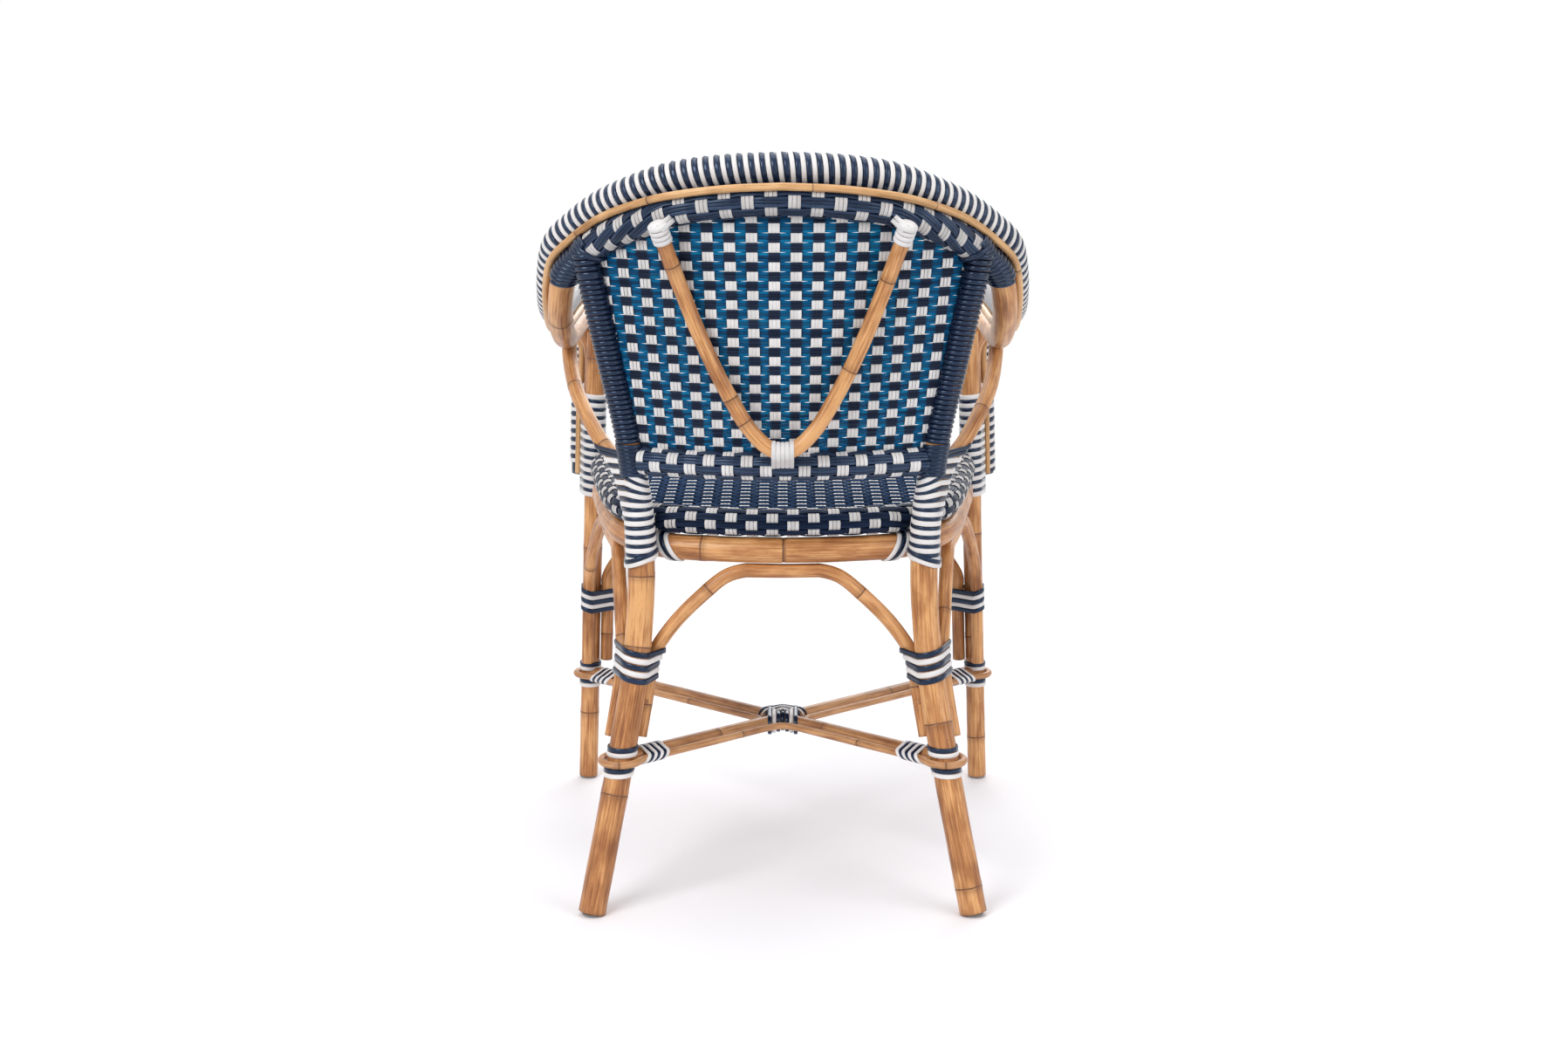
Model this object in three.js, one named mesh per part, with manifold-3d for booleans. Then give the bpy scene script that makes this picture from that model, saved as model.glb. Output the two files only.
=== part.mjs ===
// Rattan bistro armchair: bent poles, woven seat and back, reed bindings.
// Millimetres, +Z up, the sitter faces -Y and the sitter's left is +X.
// The origin lies on the floor under the middle of the chair.

import * as THREE from 'three'
import { mergeVertices } from 'three/addons/utils/BufferGeometryUtils.js'
import Module from 'manifold-3d'

// Fit between neighbouring pieces
const clearance = 0.3
const chordError = 0.57
const ringError = 0.8
const longestStep = 260
const routeStep = 12
const weldDistance = 0.001
const overrun = 4

// Pole radii
const postRadius = 16
const postTopRadius = 13.6
const frontLegRadius = 12.6
const bowRadius = 14.5
const rimRadius = 17.3
const stripRadius = 4.3
const strutRadius = 9
const railRadius = 15
const archRadius = 8.4
const crossbarRadius = 12
const braceRadius = 8.7
const stretcherRadius = 9.5
const caneRadius = 4.3

// Reed and weave
const reedThickness = 2
const reedGap = 0.7
const bentReedGap = 2.4
const coverThickness = 2.2
const lashingThickness = 2.2
const barCoverThickness = 5
const panelThickness = 5
const deckThickness = 7
const weavePitch = 22.6
const weaveRelief = 1
const rollRadius = 17

// Stance of the legs
const rearFootHalf = 224
const rearFootBack = 270
const frontFootHalf = 271
const frontFootReach = 228
const glideRadius = 11.5
const glideHeight = 3

// Bow that makes the arms and the top of the back
const bowHalf = 262
const armHeight = 650
const bowRise = 182
const elbowBack = 10
const bowBack = 308
const armBendRadius = 52
const postTopRise = 116
const postHeight = armHeight + postTopRise
const frontLegDrop = 10
const frontLegHeight = armHeight - frontLegDrop
const bowLegOutward = 5
const bowFootHeight = 402
const rimFootHeight = 420
const outerStripFootHeight = 424

// Seat
const railHeight = 421
const railHalf = 236
const railBack = 195
const railReach = 213

// Woven back
const crossbarHeight = 531
const crossbarBack = 236
const braceHalf = 135

// Arches under the rail
const archFootGap = 3
const archShoulderHeight = 290
const rearArchFlatHalf = 42
const frontArchFlatHalf = 120
const sideArchFlatBack = 58
const sideArchFlatReach = 88

// Stretchers
const rearStretcherHeight = 180
const frontStretcherHeight = 151
const lashingStart = 24
const lashingLength = 34
const lapGap = 0.4
const centreWrapLength = 40
const caneStandoff = 37

// Bindings along the legs and posts
const bandHeight = 36
const rearStripePitch = 7
const frontStripePitch = 8.2
const postLashingLength = 22
const rearBindingDrop = 1
const rearBindingHeight = archShoulderHeight - rearBindingDrop
const rearBindingLength = 38
const frontBindingDrop = 30
const frontBindingHeight = archShoulderHeight - frontBindingDrop
const frontBindingLength = 31
const rearStripeFoot = 404
const rearStripeTop = 530
const frontStripeFoot = 398
const frontStripeDrop = 105
const frontStripeTop = armHeight - frontStripeDrop
const innerStripTuck = 59
const innerStripFootHeight = frontStripeTop - innerStripTuck
const postWrapGap = 10
const postWrapFoot = crossbarHeight + postWrapGap
const strutTipHeight = 452
const strutJoinHeight = 514
const strutTip = 1.5
const railLashingLength = 20
const braceWrapLength = 28
const bowLashingLength = 62
const bowLashingTail = 26

// Facets
const glideSides = 12
const longSides = 10
const coverSides = 8
const slimSides = 8
const stripSides = 5
const panelRows = 3
const windingSteps = 8
const bindingSteps = 10
const stretchPoints = 24
const sizeSteps = 600
const pushSteps = 4

// Reed turns
const bindingTurns = 5
const lashingTurns = 4
const braceWrapTurns = 4
const railLashingTurns = 3

// Stations of the bent poles, as shares of the sizes named beside them
// rear post: rearFootHalf, rearFootBack, postHeight
const postShares = [
  [1, 1, 0], [0.848, 0.889, 0.231], [0.769, 0.8, 0.372], [0.736, 0.726, 0.522],
  [0.775, 0.726, 0.692], [0.877, 0.796, 0.849], [0.978, 0.872, 1],
]
// front leg: frontFootHalf, frontFootReach, frontLegHeight
const frontLegShares = [[1, -1, 0], [0.955, -0.976, 0.5], [0.91, -0.93, 1]]
// back of the bow: bowHalf, bowBack - elbowBack, bowRise
const bowShares = [
  [0, 1, 1], [0.237, 0.983, 0.983], [0.439, 0.943, 0.939], [0.603, 0.883, 0.855],
  [0.742, 0.8, 0.758], [0.856, 0.721, 0.634], [0.935, 0.648, 0.517],
  [0.977, 0.52, 0.3], [0.992, 0.352, 0.128], [0.996, 0.185, 0.028], [1, 0, 0],
]
// lean of the rim away from the bow, [station share, x, y, z], from the top of the back to the arm
const rimLeanShares = [
  [0, 0, -0.33, 0.95], [0.25, 0.1, -0.33, 0.93], [0.42, 0.34, -0.2, 0.92],
  [0.6, 0.42, 0, 0.91], [0.7, 0.4, 0, 0.92],
]
// rail in plan: railHalf, railBack or railReach
const railRearShares = [[0, 1], [0.339, 0.959]]
const railSideShares = [[0.788, 0.574], [0.869, 0.256], [0.924, -0.094], [0.97, -0.423], [1, -0.728]]
const railFrontShares = [[0.805, -1], [0.403, -1], [0, -1]]
// V brace below its seat on the bow: braceHalf, its drop
const braceShares = [[0.84, 0.26], [0.635, 0.54], [0.44, 0.755], [0.26, 0.91], [0.1, 0.988], [0, 1]]
// arch between shoulder and rail, share of the run and of the rise
const archBendShares = [[0.25, 0.37], [0.66, 0.76]]
const archLegShares = [0, 0.5, 0.85, 1]
const archFlatShare = 0.15
const panelBulgeShare = 0.04
const barCoverShare = 0.04
// directions in plan from a leg to the piece that rests against it
const rearArchSideShares = [-0.64, -0.77]
const sideArchRearShares = [0.62, -0.78]
const sideArchFrontShares = [0.1, 1]
const frontArchSideShares = [-1, 0.2]
const railRearSeatShares = [-0.57, -0.82]
const railFrontSeatShares = [-0.84, 0.54]
const strutSideShares = [0.74, -0.67]
// strut between the post and the arm: shares of its run to the side, back and up
const strutRunShares = [[0.36, 0.16, 0.24], [0.78, 0.54, 0.56], [0.96, 0.88, 0.8]]
// directions, back and up, from the bow and the crossbar to the brace on them
const braceTopShares = [0.97, -0.24]
const braceFootShares = [0.72, 0.69]
// crossbar in plan: share of the half width and of the way back
const crossbarShares = [[-1, 0], [-0.5, 0.76], [0, 1], [0.5, 0.76], [1, 0]]
// levels of one turn of reed, as shares of its pitch
const sliceShares = [0, -0.6, 0.6]
// least angle at which reed turns from a pole to the one beside it
const leastTouch = 5 * Math.PI / 12

const poleColour = '#cf9a5b'
const navyColour = '#26324f'
const whiteColour = '#e9e6df'
const glideColour = '#8d8f90'

const wasm = await Module()
wasm.setup()

const vec = (x, y, z) => new THREE.Vector3(x, y, z)

// Curves

function smooth(points, closed = false) {
  const curve = new THREE.CatmullRomCurve3(points, closed, 'centripetal')
  curve.arcLengthDivisions = 40 * points.length
  return curve
}

function stretchOf(curve, from, to) {
  const points = []
  for (let i = 0; i <= stretchPoints; i += 1) {
    points.push(curve.getPointAt(from + (to - from) * i / stretchPoints))
  }
  return smooth(points)
}

// Last stretch of a curve, of the given length
function endOf(curve, length) {
  return stretchOf(curve, 1 - length / curve.getLength(), 1)
}

// First stretch of a curve, of the given length
function startOf(curve, length) {
  return stretchOf(curve, 0, length / curve.getLength())
}

function shareAtHeight(curve, height) {
  const rising = curve.getPointAt(1).z > curve.getPointAt(0).z
  let low = 0
  let high = 1
  for (let i = 0; i < 40; i += 1) {
    const middle = (low + high) / 2
    if (curve.getPointAt(middle).z < height === rising) low = middle
    else high = middle
  }
  return (low + high) / 2
}

const atHeight = (curve, height) => curve.getPointAt(shareAtHeight(curve, height))

const inPlan = shares => vec(shares[0], shares[1], 0).normalize()
const inSide = shares => vec(0, shares[0], shares[1]).normalize()

function reflected(point) {
  return vec(-point.x, point.y, point.z)
}

function bothHalves(half) {
  const other = half.slice(1).map(reflected).reverse()
  return [...other, ...half]
}

// Solids

// Shares along a curve where its rings lie: closer together where it bends
function ringShares(curve) {
  const length = curve.getLength()
  const shares = [0]
  let turned = 0
  let last = curve.getTangentAt(0)
  for (let i = 1; i < sizeSteps; i += 1) {
    const tangent = curve.getTangentAt(i / sizeSteps)
    turned += last.angleTo(tangent)
    last = tangent
    const run = (i / sizeSteps - shares.at(-1)) * length
    if (run * turned / 8 >= ringError || run >= longestStep) {
      shares.push(i / sizeSteps)
      turned = 0
    }
  }
  return [...shares, 1]
}

// Path whose even steps fall on those rings
class PacedPath extends THREE.Curve {
  constructor(curve) {
    super()
    this.curve = curve
    this.shares = ringShares(curve)
    this.isCatmullRomCurve3 = true
    this.closed = curve.closed === true
  }

  place(u) {
    const last = this.shares.length - 1
    const i = Math.min(last - 1, Math.floor(u * last))
    return THREE.MathUtils.lerp(this.shares[i], this.shares[i + 1], u * last - i)
  }

  getPoint(t) {
    return this.curve.getPointAt(this.place(t))
  }

  getPointAt(u) {
    return this.getPoint(u)
  }

  getTangentAt(u) {
    return this.curve.getTangentAt(this.place(u))
  }
}

function circleShape(radius, sides) {
  const points = []
  for (let i = 0; i < sides; i += 1) {
    const angle = 2 * Math.PI * i / sides
    points.push(new THREE.Vector2(radius * Math.cos(angle), radius * Math.sin(angle)))
  }
  return new THREE.Shape(points)
}

function pole(curve, radius, sides) {
  const path = new PacedPath(curve)
  return new THREE.ExtrudeGeometry(circleShape(radius, sides), {
    steps: path.shares.length - 1,
    extrudePath: path,
    bevelEnabled: false,
    curveSegments: 1,
  })
}

// Radius whose polygon clears a round pole of the given radius
const around = (radius, sides) => (radius + clearance + chordError) / Math.cos(Math.PI / sides)

// Radius out to the outside of reed wound round a pole
const wrapReach = radius => around(radius, 4 * Math.PI / (Math.PI - leastTouch)) + reedThickness

function toSolid(geometry) {
  const plain = geometry.clone()
  plain.deleteAttribute('normal')
  plain.deleteAttribute('uv')
  const merged = mergeVertices(plain, weldDistance)
  const make = triVerts => new wasm.Manifold(new wasm.Mesh({
    numProp: 3,
    vertProperties: Float32Array.from(merged.attributes.position.array),
    triVerts,
  }))
  const solid = make(Uint32Array.from(merged.index.array))
  if (solid.volume() > 0) return solid
  const turned = []
  for (let i = 0; i < merged.index.count; i += 3) {
    turned.push(merged.index.getX(i), merged.index.getX(i + 2), merged.index.getX(i + 1))
  }
  return make(Uint32Array.from(turned))
}

function toGeometry(solid) {
  const mesh = solid.getMesh()
  const geometry = new THREE.BufferGeometry()
  geometry.setAttribute('position', new THREE.BufferAttribute(mesh.vertProperties, 3))
  geometry.setIndex(new THREE.BufferAttribute(mesh.triVerts, 1))
  return geometry
}

function poleSolid(curve, radius, sides) {
  return toSolid(pole(curve, radius, sides))
}

// Solid on a list of corners
function solidOf(corners, index) {
  const geometry = new THREE.BufferGeometry()
  const positions = Float32Array.from(corners.flatMap(corner => corner.toArray()))
  geometry.setAttribute('position', new THREE.BufferAttribute(positions, 3))
  geometry.setIndex(index)
  return toSolid(geometry)
}

// Solid through a row of rings, each with the same number of corners
function loft(rings, closed = false) {
  const sides = rings[0].length
  const count = rings.length * sides
  const index = []
  for (let i = 0; i + 1 < rings.length + (closed ? 1 : 0); i += 1) {
    for (let j = 0; j < sides; j += 1) {
      const a = i * sides + j
      const b = i * sides + (j + 1) % sides
      const [c, d] = [(b + sides) % count, (a + sides) % count]
      index.push(a, b, c, a, c, d)
    }
  }
  if (closed) return solidOf(rings.flat(), index)
  const last = count - sides
  for (let j = 1; j < sides - 1; j += 1) index.push(0, j + 1, j, last, last + j, last + j + 1)
  return solidOf(rings.flat(), index)
}

// Rings of a pole whose radius changes along its curve
function ringsAlong(curve, radiusAt, sides) {
  const path = new PacedPath(curve)
  const steps = path.shares.length - 1
  const frames = path.computeFrenetFrames(steps, path.closed)
  const rings = []
  for (let i = 0; i <= steps; i += 1) {
    const centre = path.getPoint(i / steps)
    const radius = radiusAt(centre.z)
    const ring = []
    for (let j = 0; j < sides; j += 1) {
      const angle = 2 * Math.PI * j / sides
      const corner = centre.clone().addScaledVector(frames.normals[i], radius * Math.cos(angle))
      ring.push(corner.addScaledVector(frames.binormals[i], radius * Math.sin(angle)))
    }
    rings.push(ring)
  }
  return rings
}

const taperedSolid = (curve, radiusAt, sides) => loft(ringsAlong(curve, radiusAt, sides))

// Pole bent round to its own start
const loopSolid = (curve, radius, sides) => loft(ringsAlong(curve, () => radius, sides).slice(0, -1), true)

function less(solid, cutters) {
  return cutters.reduce((rest, cutter) => rest.subtract(cutter), solid)
}

// Sleeve of wrapped reed round a stretch of a pole, whose grown solid hollows it
function sleeve(curve, radius, thickness, from, to, sides, inside) {
  return poleSolid(stretchOf(curve, from, to), around(radius, sides) + thickness, sides).subtract(inside)
}

function boxSolid(width, depth, height, place) {
  const box = new THREE.BoxGeometry(width, depth, height)
  box.translate(place.x, place.y, place.z)
  return toSolid(box)
}

// Direction across a section of a bundle at an angle
function acrossAt(section, angle) {
  return section.across.clone().multiplyScalar(Math.cos(angle))
    .addScaledVector(section.other, Math.sin(angle))
}

// Corner k of the reed round a bundle: where the lines that touch its outline meet
function reedCorner(section, k) {
  const count = section.touches.length
  const first = section.touches[k % count]
  const second = section.touches[(k + 1) % count] + ((k + 1) % count === 0 ? 2 * Math.PI : 0)
  const spread = (second - first) / 2
  const origin = section.centres[0]
  const reach = angle => {
    const out = acrossAt(section, angle)
    const reaches = section.centres.map(
      (centre, i) => centre.clone().sub(origin).dot(out) + section.radii[i])
    return Math.max(...reaches) + clearance + chordError
  }
  const out = acrossAt(section, first + spread)
  const side = acrossAt(section, first + spread + Math.PI / 2)
  const place = origin.clone()
  place.addScaledVector(out, (reach(first) + reach(second)) / 2 / Math.cos(spread))
  place.addScaledVector(side, (reach(second) - reach(first)) / 2 / Math.sin(spread))
  return { place, out }
}

// Reed wound round a bundle of poles as one unbroken band, thickest along its middle.
// sectionAt gives the poles' centres and radii, the axis, two directions across it
// and the angles at which lines touch the outline.
const windingGaps = []

function winding(name, sectionAt, turns, length, gap = reedGap) {
  const pitch = length / (turns + 1)
  const half = (pitch - gap) / 2
  const steps = sectionAt(0).touches.length
  const rings = []
  for (let k = 0; k <= turns * steps; k += 1) {
    const section = sectionAt((pitch / 2 + pitch * k / steps) / length)
    const { place, out } = reedCorner(section, k)
    rings.push([
      place.clone().addScaledVector(section.along, -half),
      place.clone().addScaledVector(section.along, half),
      place.clone().addScaledVector(out, reedThickness),
    ])
  }
  windingGaps.push(`${name} ${leastGap(rings, steps).toFixed(2)}`)
  return loft(rings)
}

// Least distance between the corners of neighbouring turns
function leastGap(rings, steps) {
  let least = Infinity
  for (let k = 0; k + steps < rings.length; k += 1) {
    for (const corner of rings[k]) {
      for (const other of rings[k + steps]) least = Math.min(least, corner.distanceTo(other))
    }
  }
  return least
}

function evenTouches(count) {
  return Array.from({ length: count }, (_, i) => 2 * Math.PI * i / count)
}

// Place of one pole of an upright bundle; past its end it keeps its distance from the first
function bundlePlace(curve, first, height) {
  const ends = [curve.getPointAt(0).z, curve.getPointAt(1).z]
  const kept = THREE.MathUtils.clamp(height, Math.min(...ends), Math.max(...ends))
  const off = atHeight(curve, kept).sub(atHeight(first, kept))
  return atHeight(first, height).add(off).setZ(height)
}

const radiusAtHeight = (curve, radius, height) => (curve === postCurve ? postRadiusAt(height) : radius)

// Level slices of a bundle of upright poles, over the height that one turn of reed covers
function slicesAt(curves, radii, height, turnHeight) {
  const slices = { centres: [], radii: [] }
  for (const side of sliceShares) {
    curves.forEach((curve, i) => {
      const level = height + side * turnHeight
      const lean = curve.getTangentAt(shareAtHeight(curve, level)).z
      slices.centres.push(bundlePlace(curve, curves[0], level).setZ(height))
      slices.radii.push(radiusAtHeight(curve, radii[i], level) / Math.abs(lean))
    })
  }
  return slices
}

// Section of two upright poles side by side
function pairSection(curves, radii, foot, top, turns) {
  return share => {
    const height = foot + (top - foot) * share
    const slices = slicesAt(curves, radii, height, (top - foot) / (turns + 1))
    const across = slices.centres[1].clone().sub(slices.centres[0])
    const cosine = THREE.MathUtils.clamp((slices.radii[0] - slices.radii[1]) / across.length(), -1, 1)
    const touch = THREE.MathUtils.clamp(Math.acos(cosine), leastTouch, Math.PI - leastTouch)
    const turned = (touch + Math.PI) / 2
    const along = vec(0, 0, 1)
    across.normalize()
    return {
      ...slices,
      across,
      other: along.clone().cross(across),
      along,
      touches: [0, touch / 2, touch, turned, Math.PI, 2 * Math.PI - turned, 2 * Math.PI - touch,
        2 * Math.PI - touch / 2],
    }
  }
}

// Section of a bundle of several upright poles
function uprightSection(curves, radii, foot, top, turns) {
  return share => ({
    ...slicesAt(curves, radii, foot + (top - foot) * share, (top - foot) / (turns + 1)),
    across: vec(1, 0, 0),
    other: vec(0, 1, 0),
    along: vec(0, 0, 1),
    touches: evenTouches(bindingSteps),
  })
}

// Section of one pole, or of poles beside it, along a stretch of its curve
function poleSection(curve, from, to, sideShifts, radii) {
  return share => {
    const place = from + (to - from) * share
    const centre = curve.getPointAt(place)
    const along = curve.getTangentAt(place)
    const across = vec(0, 0, 1).cross(along).normalize()
    return {
      centres: sideShifts.map(shift => centre.clone().addScaledVector(across, shift)),
      radii,
      across,
      other: along.clone().cross(across),
      along,
      touches: evenTouches(windingSteps),
    }
  }
}

// Routes of the poles on the sitter's left

const postCurve = smooth(postShares.map(
  s => vec(s[0] * rearFootHalf, s[1] * rearFootBack, s[2] * postHeight)))

// The post is stout up to the rail and slimmer above the crossbar
const postRadiusAt = height => THREE.MathUtils.lerp(
  postRadius, postTopRadius, THREE.MathUtils.smoothstep(height, railHeight, crossbarHeight))

const frontLegCurve = smooth(frontLegShares.map(
  s => vec(s[0] * frontFootHalf, s[1] * frontFootReach, s[2] * frontLegHeight)))

// Axis of the bow's front stretch, seated against the front leg
function bowLegAt(height) {
  const leg = atHeight(frontLegCurve, height)
  const apart = frontLegRadius + bowRadius + clearance + 2 * chordError
  return vec(leg.x + bowLegOutward, leg.y - Math.sqrt(apart ** 2 - bowLegOutward ** 2), height)
}

// Half of the bow, from the top of the back round the arm to its foot
function bowHalfPoints() {
  const points = bowShares.map(
    s => vec(s[0] * bowHalf, elbowBack + s[1] * (bowBack - elbowBack), armHeight + s[2] * bowRise))
  const bendEnd = armHeight - armBendRadius
  const bendStart = bowLegAt(bendEnd).y + armBendRadius
  points.push(vec(bowHalf, (elbowBack + bendStart) / 2, armHeight))
  points.push(vec(bowHalf, bendStart, armHeight))
  for (const angle of [Math.PI / 6, Math.PI / 3]) {
    points.push(vec(bowHalf, bendStart - armBendRadius * Math.sin(angle),
      armHeight - armBendRadius * (1 - Math.cos(angle))))
  }
  const legHeights = [bendEnd, (bendEnd + bowFootHeight) / 2, bowFootHeight]
  points.push(...legHeights.map(bowLegAt))
  return points
}

const bowHalfCurve = smooth(bowHalfPoints())
const bowCurve = smooth(bothHalves(bowHalfPoints()))

// Direction from the bow to the rim, square to the bow; past the elbow it turns down with the bow
function rimDirection(share, tangent) {
  const [elbow, side, , up] = rimLeanShares.at(-1)
  if (share > elbow) {
    const out = vec(1, 0, 0)
    return tangent.clone().cross(out).multiplyScalar(up).addScaledVector(out, side).normalize()
  }
  let i = 0
  while (i < rimLeanShares.length - 2 && rimLeanShares[i + 1][0] < share) i += 1
  const [before, after] = [rimLeanShares[i], rimLeanShares[i + 1]]
  const blend = THREE.MathUtils.clamp((share - before[0]) / (after[0] - before[0]), 0, 1)
  const lean = vec(before[1], before[2], before[3]).lerp(vec(after[1], after[2], after[3]), blend)
  return lean.addScaledVector(tangent, -lean.dot(tangent)).normalize()
}

// Share along the half bow where the woven cover and the lashing end
const postTop = postCurve.getPointAt(1)
function nearestShare(curve, point) {
  let best = 0
  let least = Infinity
  for (let i = 0; i <= 400; i += 1) {
    const distance = curve.getPointAt(i / 400).distanceTo(point)
    if (distance < least) {
      least = distance
      best = i / 400
    }
  }
  return best
}
const joinShare = nearestShare(bowHalfCurve, postTop)
const bowHalfLength = bowHalfCurve.getLength()
const lashingFrom = joinShare - bowLashingLength / 2 / bowHalfLength
const lashingTo = joinShare + (bowLashingLength / 2 + bowLashingTail) / bowHalfLength

// Radius out to the outside of the woven cover of the bow
const coverReach = around(bowRadius, coverSides) + coverThickness

// Extra distance of the rim where the woven cover lies between
function coverRoom(share) {
  const back = 1 - THREE.MathUtils.smoothstep(share, lashingTo, lashingTo + joinShare / 3)
  const height = bowHalfCurve.getPointAt(share).z
  const rising = frontStripeTop + rollRadius
  const low = 1 - THREE.MathUtils.smoothstep(height, rising, rising + armBendRadius)
  const front = share > joinShare ? low : 0
  const coverStep = coverReach - bowRadius - 2 * chordError
  return Math.max(coverStep * back, (wrapReach(bowRadius) - bowRadius) * front)
}

// A route beside the bow: side 0 the rim, 1 the outer crease, -1 the inner crease
function besideBow(side, share) {
  const centre = bowHalfCurve.getPointAt(share)
  const tangent = bowHalfCurve.getTangentAt(share)
  const toRim = rimDirection(share, tangent)
  const room = coverRoom(share)
  const rimDistance = bowRadius + rimRadius + clearance + 2 * chordError + room
  if (side === 0) return centre.addScaledVector(toRim, rimDistance)
  const fromBow = bowRadius + stripRadius + clearance + chordError / 2 + room
  const fromRim = rimRadius + stripRadius + clearance + chordError / 2
  const cosine = (rimDistance ** 2 + fromBow ** 2 - fromRim ** 2) / (2 * rimDistance * fromBow)
  const sideways = toRim.clone().cross(tangent).multiplyScalar(side)
  centre.addScaledVector(toRim, fromBow * cosine)
  return centre.addScaledVector(sideways, fromBow * Math.sqrt(1 - cosine ** 2))
}

const nearestPoint = (curve, point) => curve.getPointAt(nearestShare(curve, point))

// Point moved off the poles that it lies too close to
function pushedOff(point, poles) {
  const moved = point.clone()
  for (let i = 0; i < pushSteps; i += 1) {
    for (const [curve, apart] of poles) {
      const near = nearestPoint(curve, moved)
      const off = moved.clone().sub(near)
      if (off.length() < apart) moved.copy(near).addScaledVector(off.normalize(), apart)
    }
  }
  return moved
}

function besideBowPoints(side, from, footHeight) {
  let end = 1
  while (besideBow(side, end).z < footHeight) end -= 1 / sizeSteps
  const pieces = Math.ceil((end - from) * bowHalfLength / routeStep)
  const points = []
  for (let i = 0; i <= pieces; i += 1) points.push(besideBow(side, from + (end - from) * i / pieces))
  return points
}

// Closed route of the seat rail, seated against the rear posts and front legs
function railPoints(height) {
  const post = atHeight(postCurve, railHeight)
  const leg = atHeight(frontLegCurve, railHeight)
  const postGap = wrapReach(postRadius) + railRadius + clearance
  const legGap = wrapReach(frontLegRadius) + railRadius + clearance
  const reach = share => (share > 0 ? share * railBack : share * railReach)
  const place = s => vec(s[0] * railHalf, reach(s[1]), height)
  const rearSeat = vec(post.x, post.y, height).addScaledVector(inPlan(railRearSeatShares), postGap)
  const frontSeat = vec(leg.x, leg.y, height).addScaledVector(inPlan(railFrontSeatShares), legGap)
  const half = [
    ...railRearShares.map(place), rearSeat, ...railSideShares.map(place), frontSeat,
    ...railFrontShares.map(place),
  ]
  const other = half.slice(1, -1).map(reflected).reverse()
  return [...half, ...other]
}

const railCurve = smooth(railPoints(railHeight), true)

// Strut from the arm down to the rear post
function strutPoints() {
  const bowShare = nearestShare(bowHalfCurve, vec(bowHalf, elbowBack, armHeight))
  const top = bowHalfCurve.getPointAt(bowShare)
  const side = inPlan(strutSideShares)
  const low = atHeight(postCurve, strutTipHeight).addScaledVector(side, postRadius - strutRadius + strutTip)
  const join = atHeight(postCurve, strutJoinHeight)
    .addScaledVector(side, postRadiusAt(strutJoinHeight) + strutRadius + 2 * clearance)
  const run = top.clone().sub(join)
  const bend = strutRunShares.map(
    s => vec(join.x + run.x * s[0], join.y + run.y * s[1], join.z + run.z * s[2]))
  return [low, join, ...bend, top]
}

const strutCurve = smooth(strutPoints())

// Arch foot beside a leg
function besideLeg(curve, legRadius, direction, height) {
  const side = inPlan(direction)
  const lean = side.dot(curve.getTangentAt(shareAtHeight(curve, height)))
  const apart = legRadius + archRadius + clearance + 2 * chordError
  return atHeight(curve, height).addScaledVector(side, apart / Math.sqrt(1 - lean ** 2))
}

const archTopHeight = railHeight - railRadius - archRadius - clearance - 2 * chordError
const rearArchFoot = rearStretcherHeight + bandHeight / 2 + archFootGap
const frontArchFoot = frontStretcherHeight + bandHeight / 2 + archFootGap

function railPlaceWhere(test) {
  for (let i = 0; i <= 1000; i += 1) {
    const point = railCurve.getPointAt(i / 1000)
    if (test(point)) return vec(point.x, point.y, archTopHeight)
  }
  return vec(0, 0, archTopHeight)
}

// Half of an arch: up beside the leg, round the shoulder, to its flat under the rail
function archHalf(curve, legRadius, direction, footHeight, flatStart, flatMiddle) {
  const leg = archLegShares.map(share => besideLeg(
    curve, legRadius, direction, footHeight + (archShoulderHeight - footHeight) * share))
  const shoulder = leg.at(-1)
  const bend = archBendShares.map(s => vec(
    shoulder.x + (flatStart.x - shoulder.x) * s[0],
    shoulder.y + (flatStart.y - shoulder.y) * s[0],
    shoulder.z + (flatStart.z - shoulder.z) * s[1]))
  return [...leg, ...bend, flatStart, flatStart.clone().lerp(flatMiddle, archFlatShare)]
}

const rearFlat = railPlaceWhere(p => p.x > rearArchFlatHalf)
const rearMiddle = vec(0, railBack, archTopHeight)
const rearArchHalf = archHalf(postCurve, postRadius, rearArchSideShares, rearArchFoot, rearFlat, rearMiddle)
const rearArchCurve = smooth([...rearArchHalf, rearMiddle, ...rearArchHalf.map(reflected).reverse()])

const frontFlat = railPlaceWhere(p => p.y < 0 && p.x < frontArchFlatHalf)
const frontMiddle = vec(0, -railReach, archTopHeight)
const frontArchHalf = archHalf(
  frontLegCurve, frontLegRadius, frontArchSideShares, frontArchFoot, frontFlat, frontMiddle)
const frontArchCurve = smooth([...frontArchHalf, frontMiddle, ...frontArchHalf.map(reflected).reverse()])

const sideRearFlat = railPlaceWhere(p => p.x > 0 && p.y < sideArchFlatBack)
const sideMiddle = railPlaceWhere(p => p.x > 0 && p.y < (sideArchFlatBack - sideArchFlatReach) / 2)
const sideFrontFlat = railPlaceWhere(p => p.x > 0 && p.y < -sideArchFlatReach)
const sideArchRearHalf = archHalf(
  postCurve, postRadius, sideArchRearShares, rearArchFoot, sideRearFlat, sideMiddle)
const sideArchFrontHalf = archHalf(
  frontLegCurve, frontLegRadius, sideArchFrontShares, frontArchFoot, sideFrontFlat, sideMiddle)
const sideArchCurve = smooth([...sideArchRearHalf, sideMiddle, ...sideArchFrontHalf.toReversed()])

// Stretchers

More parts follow.
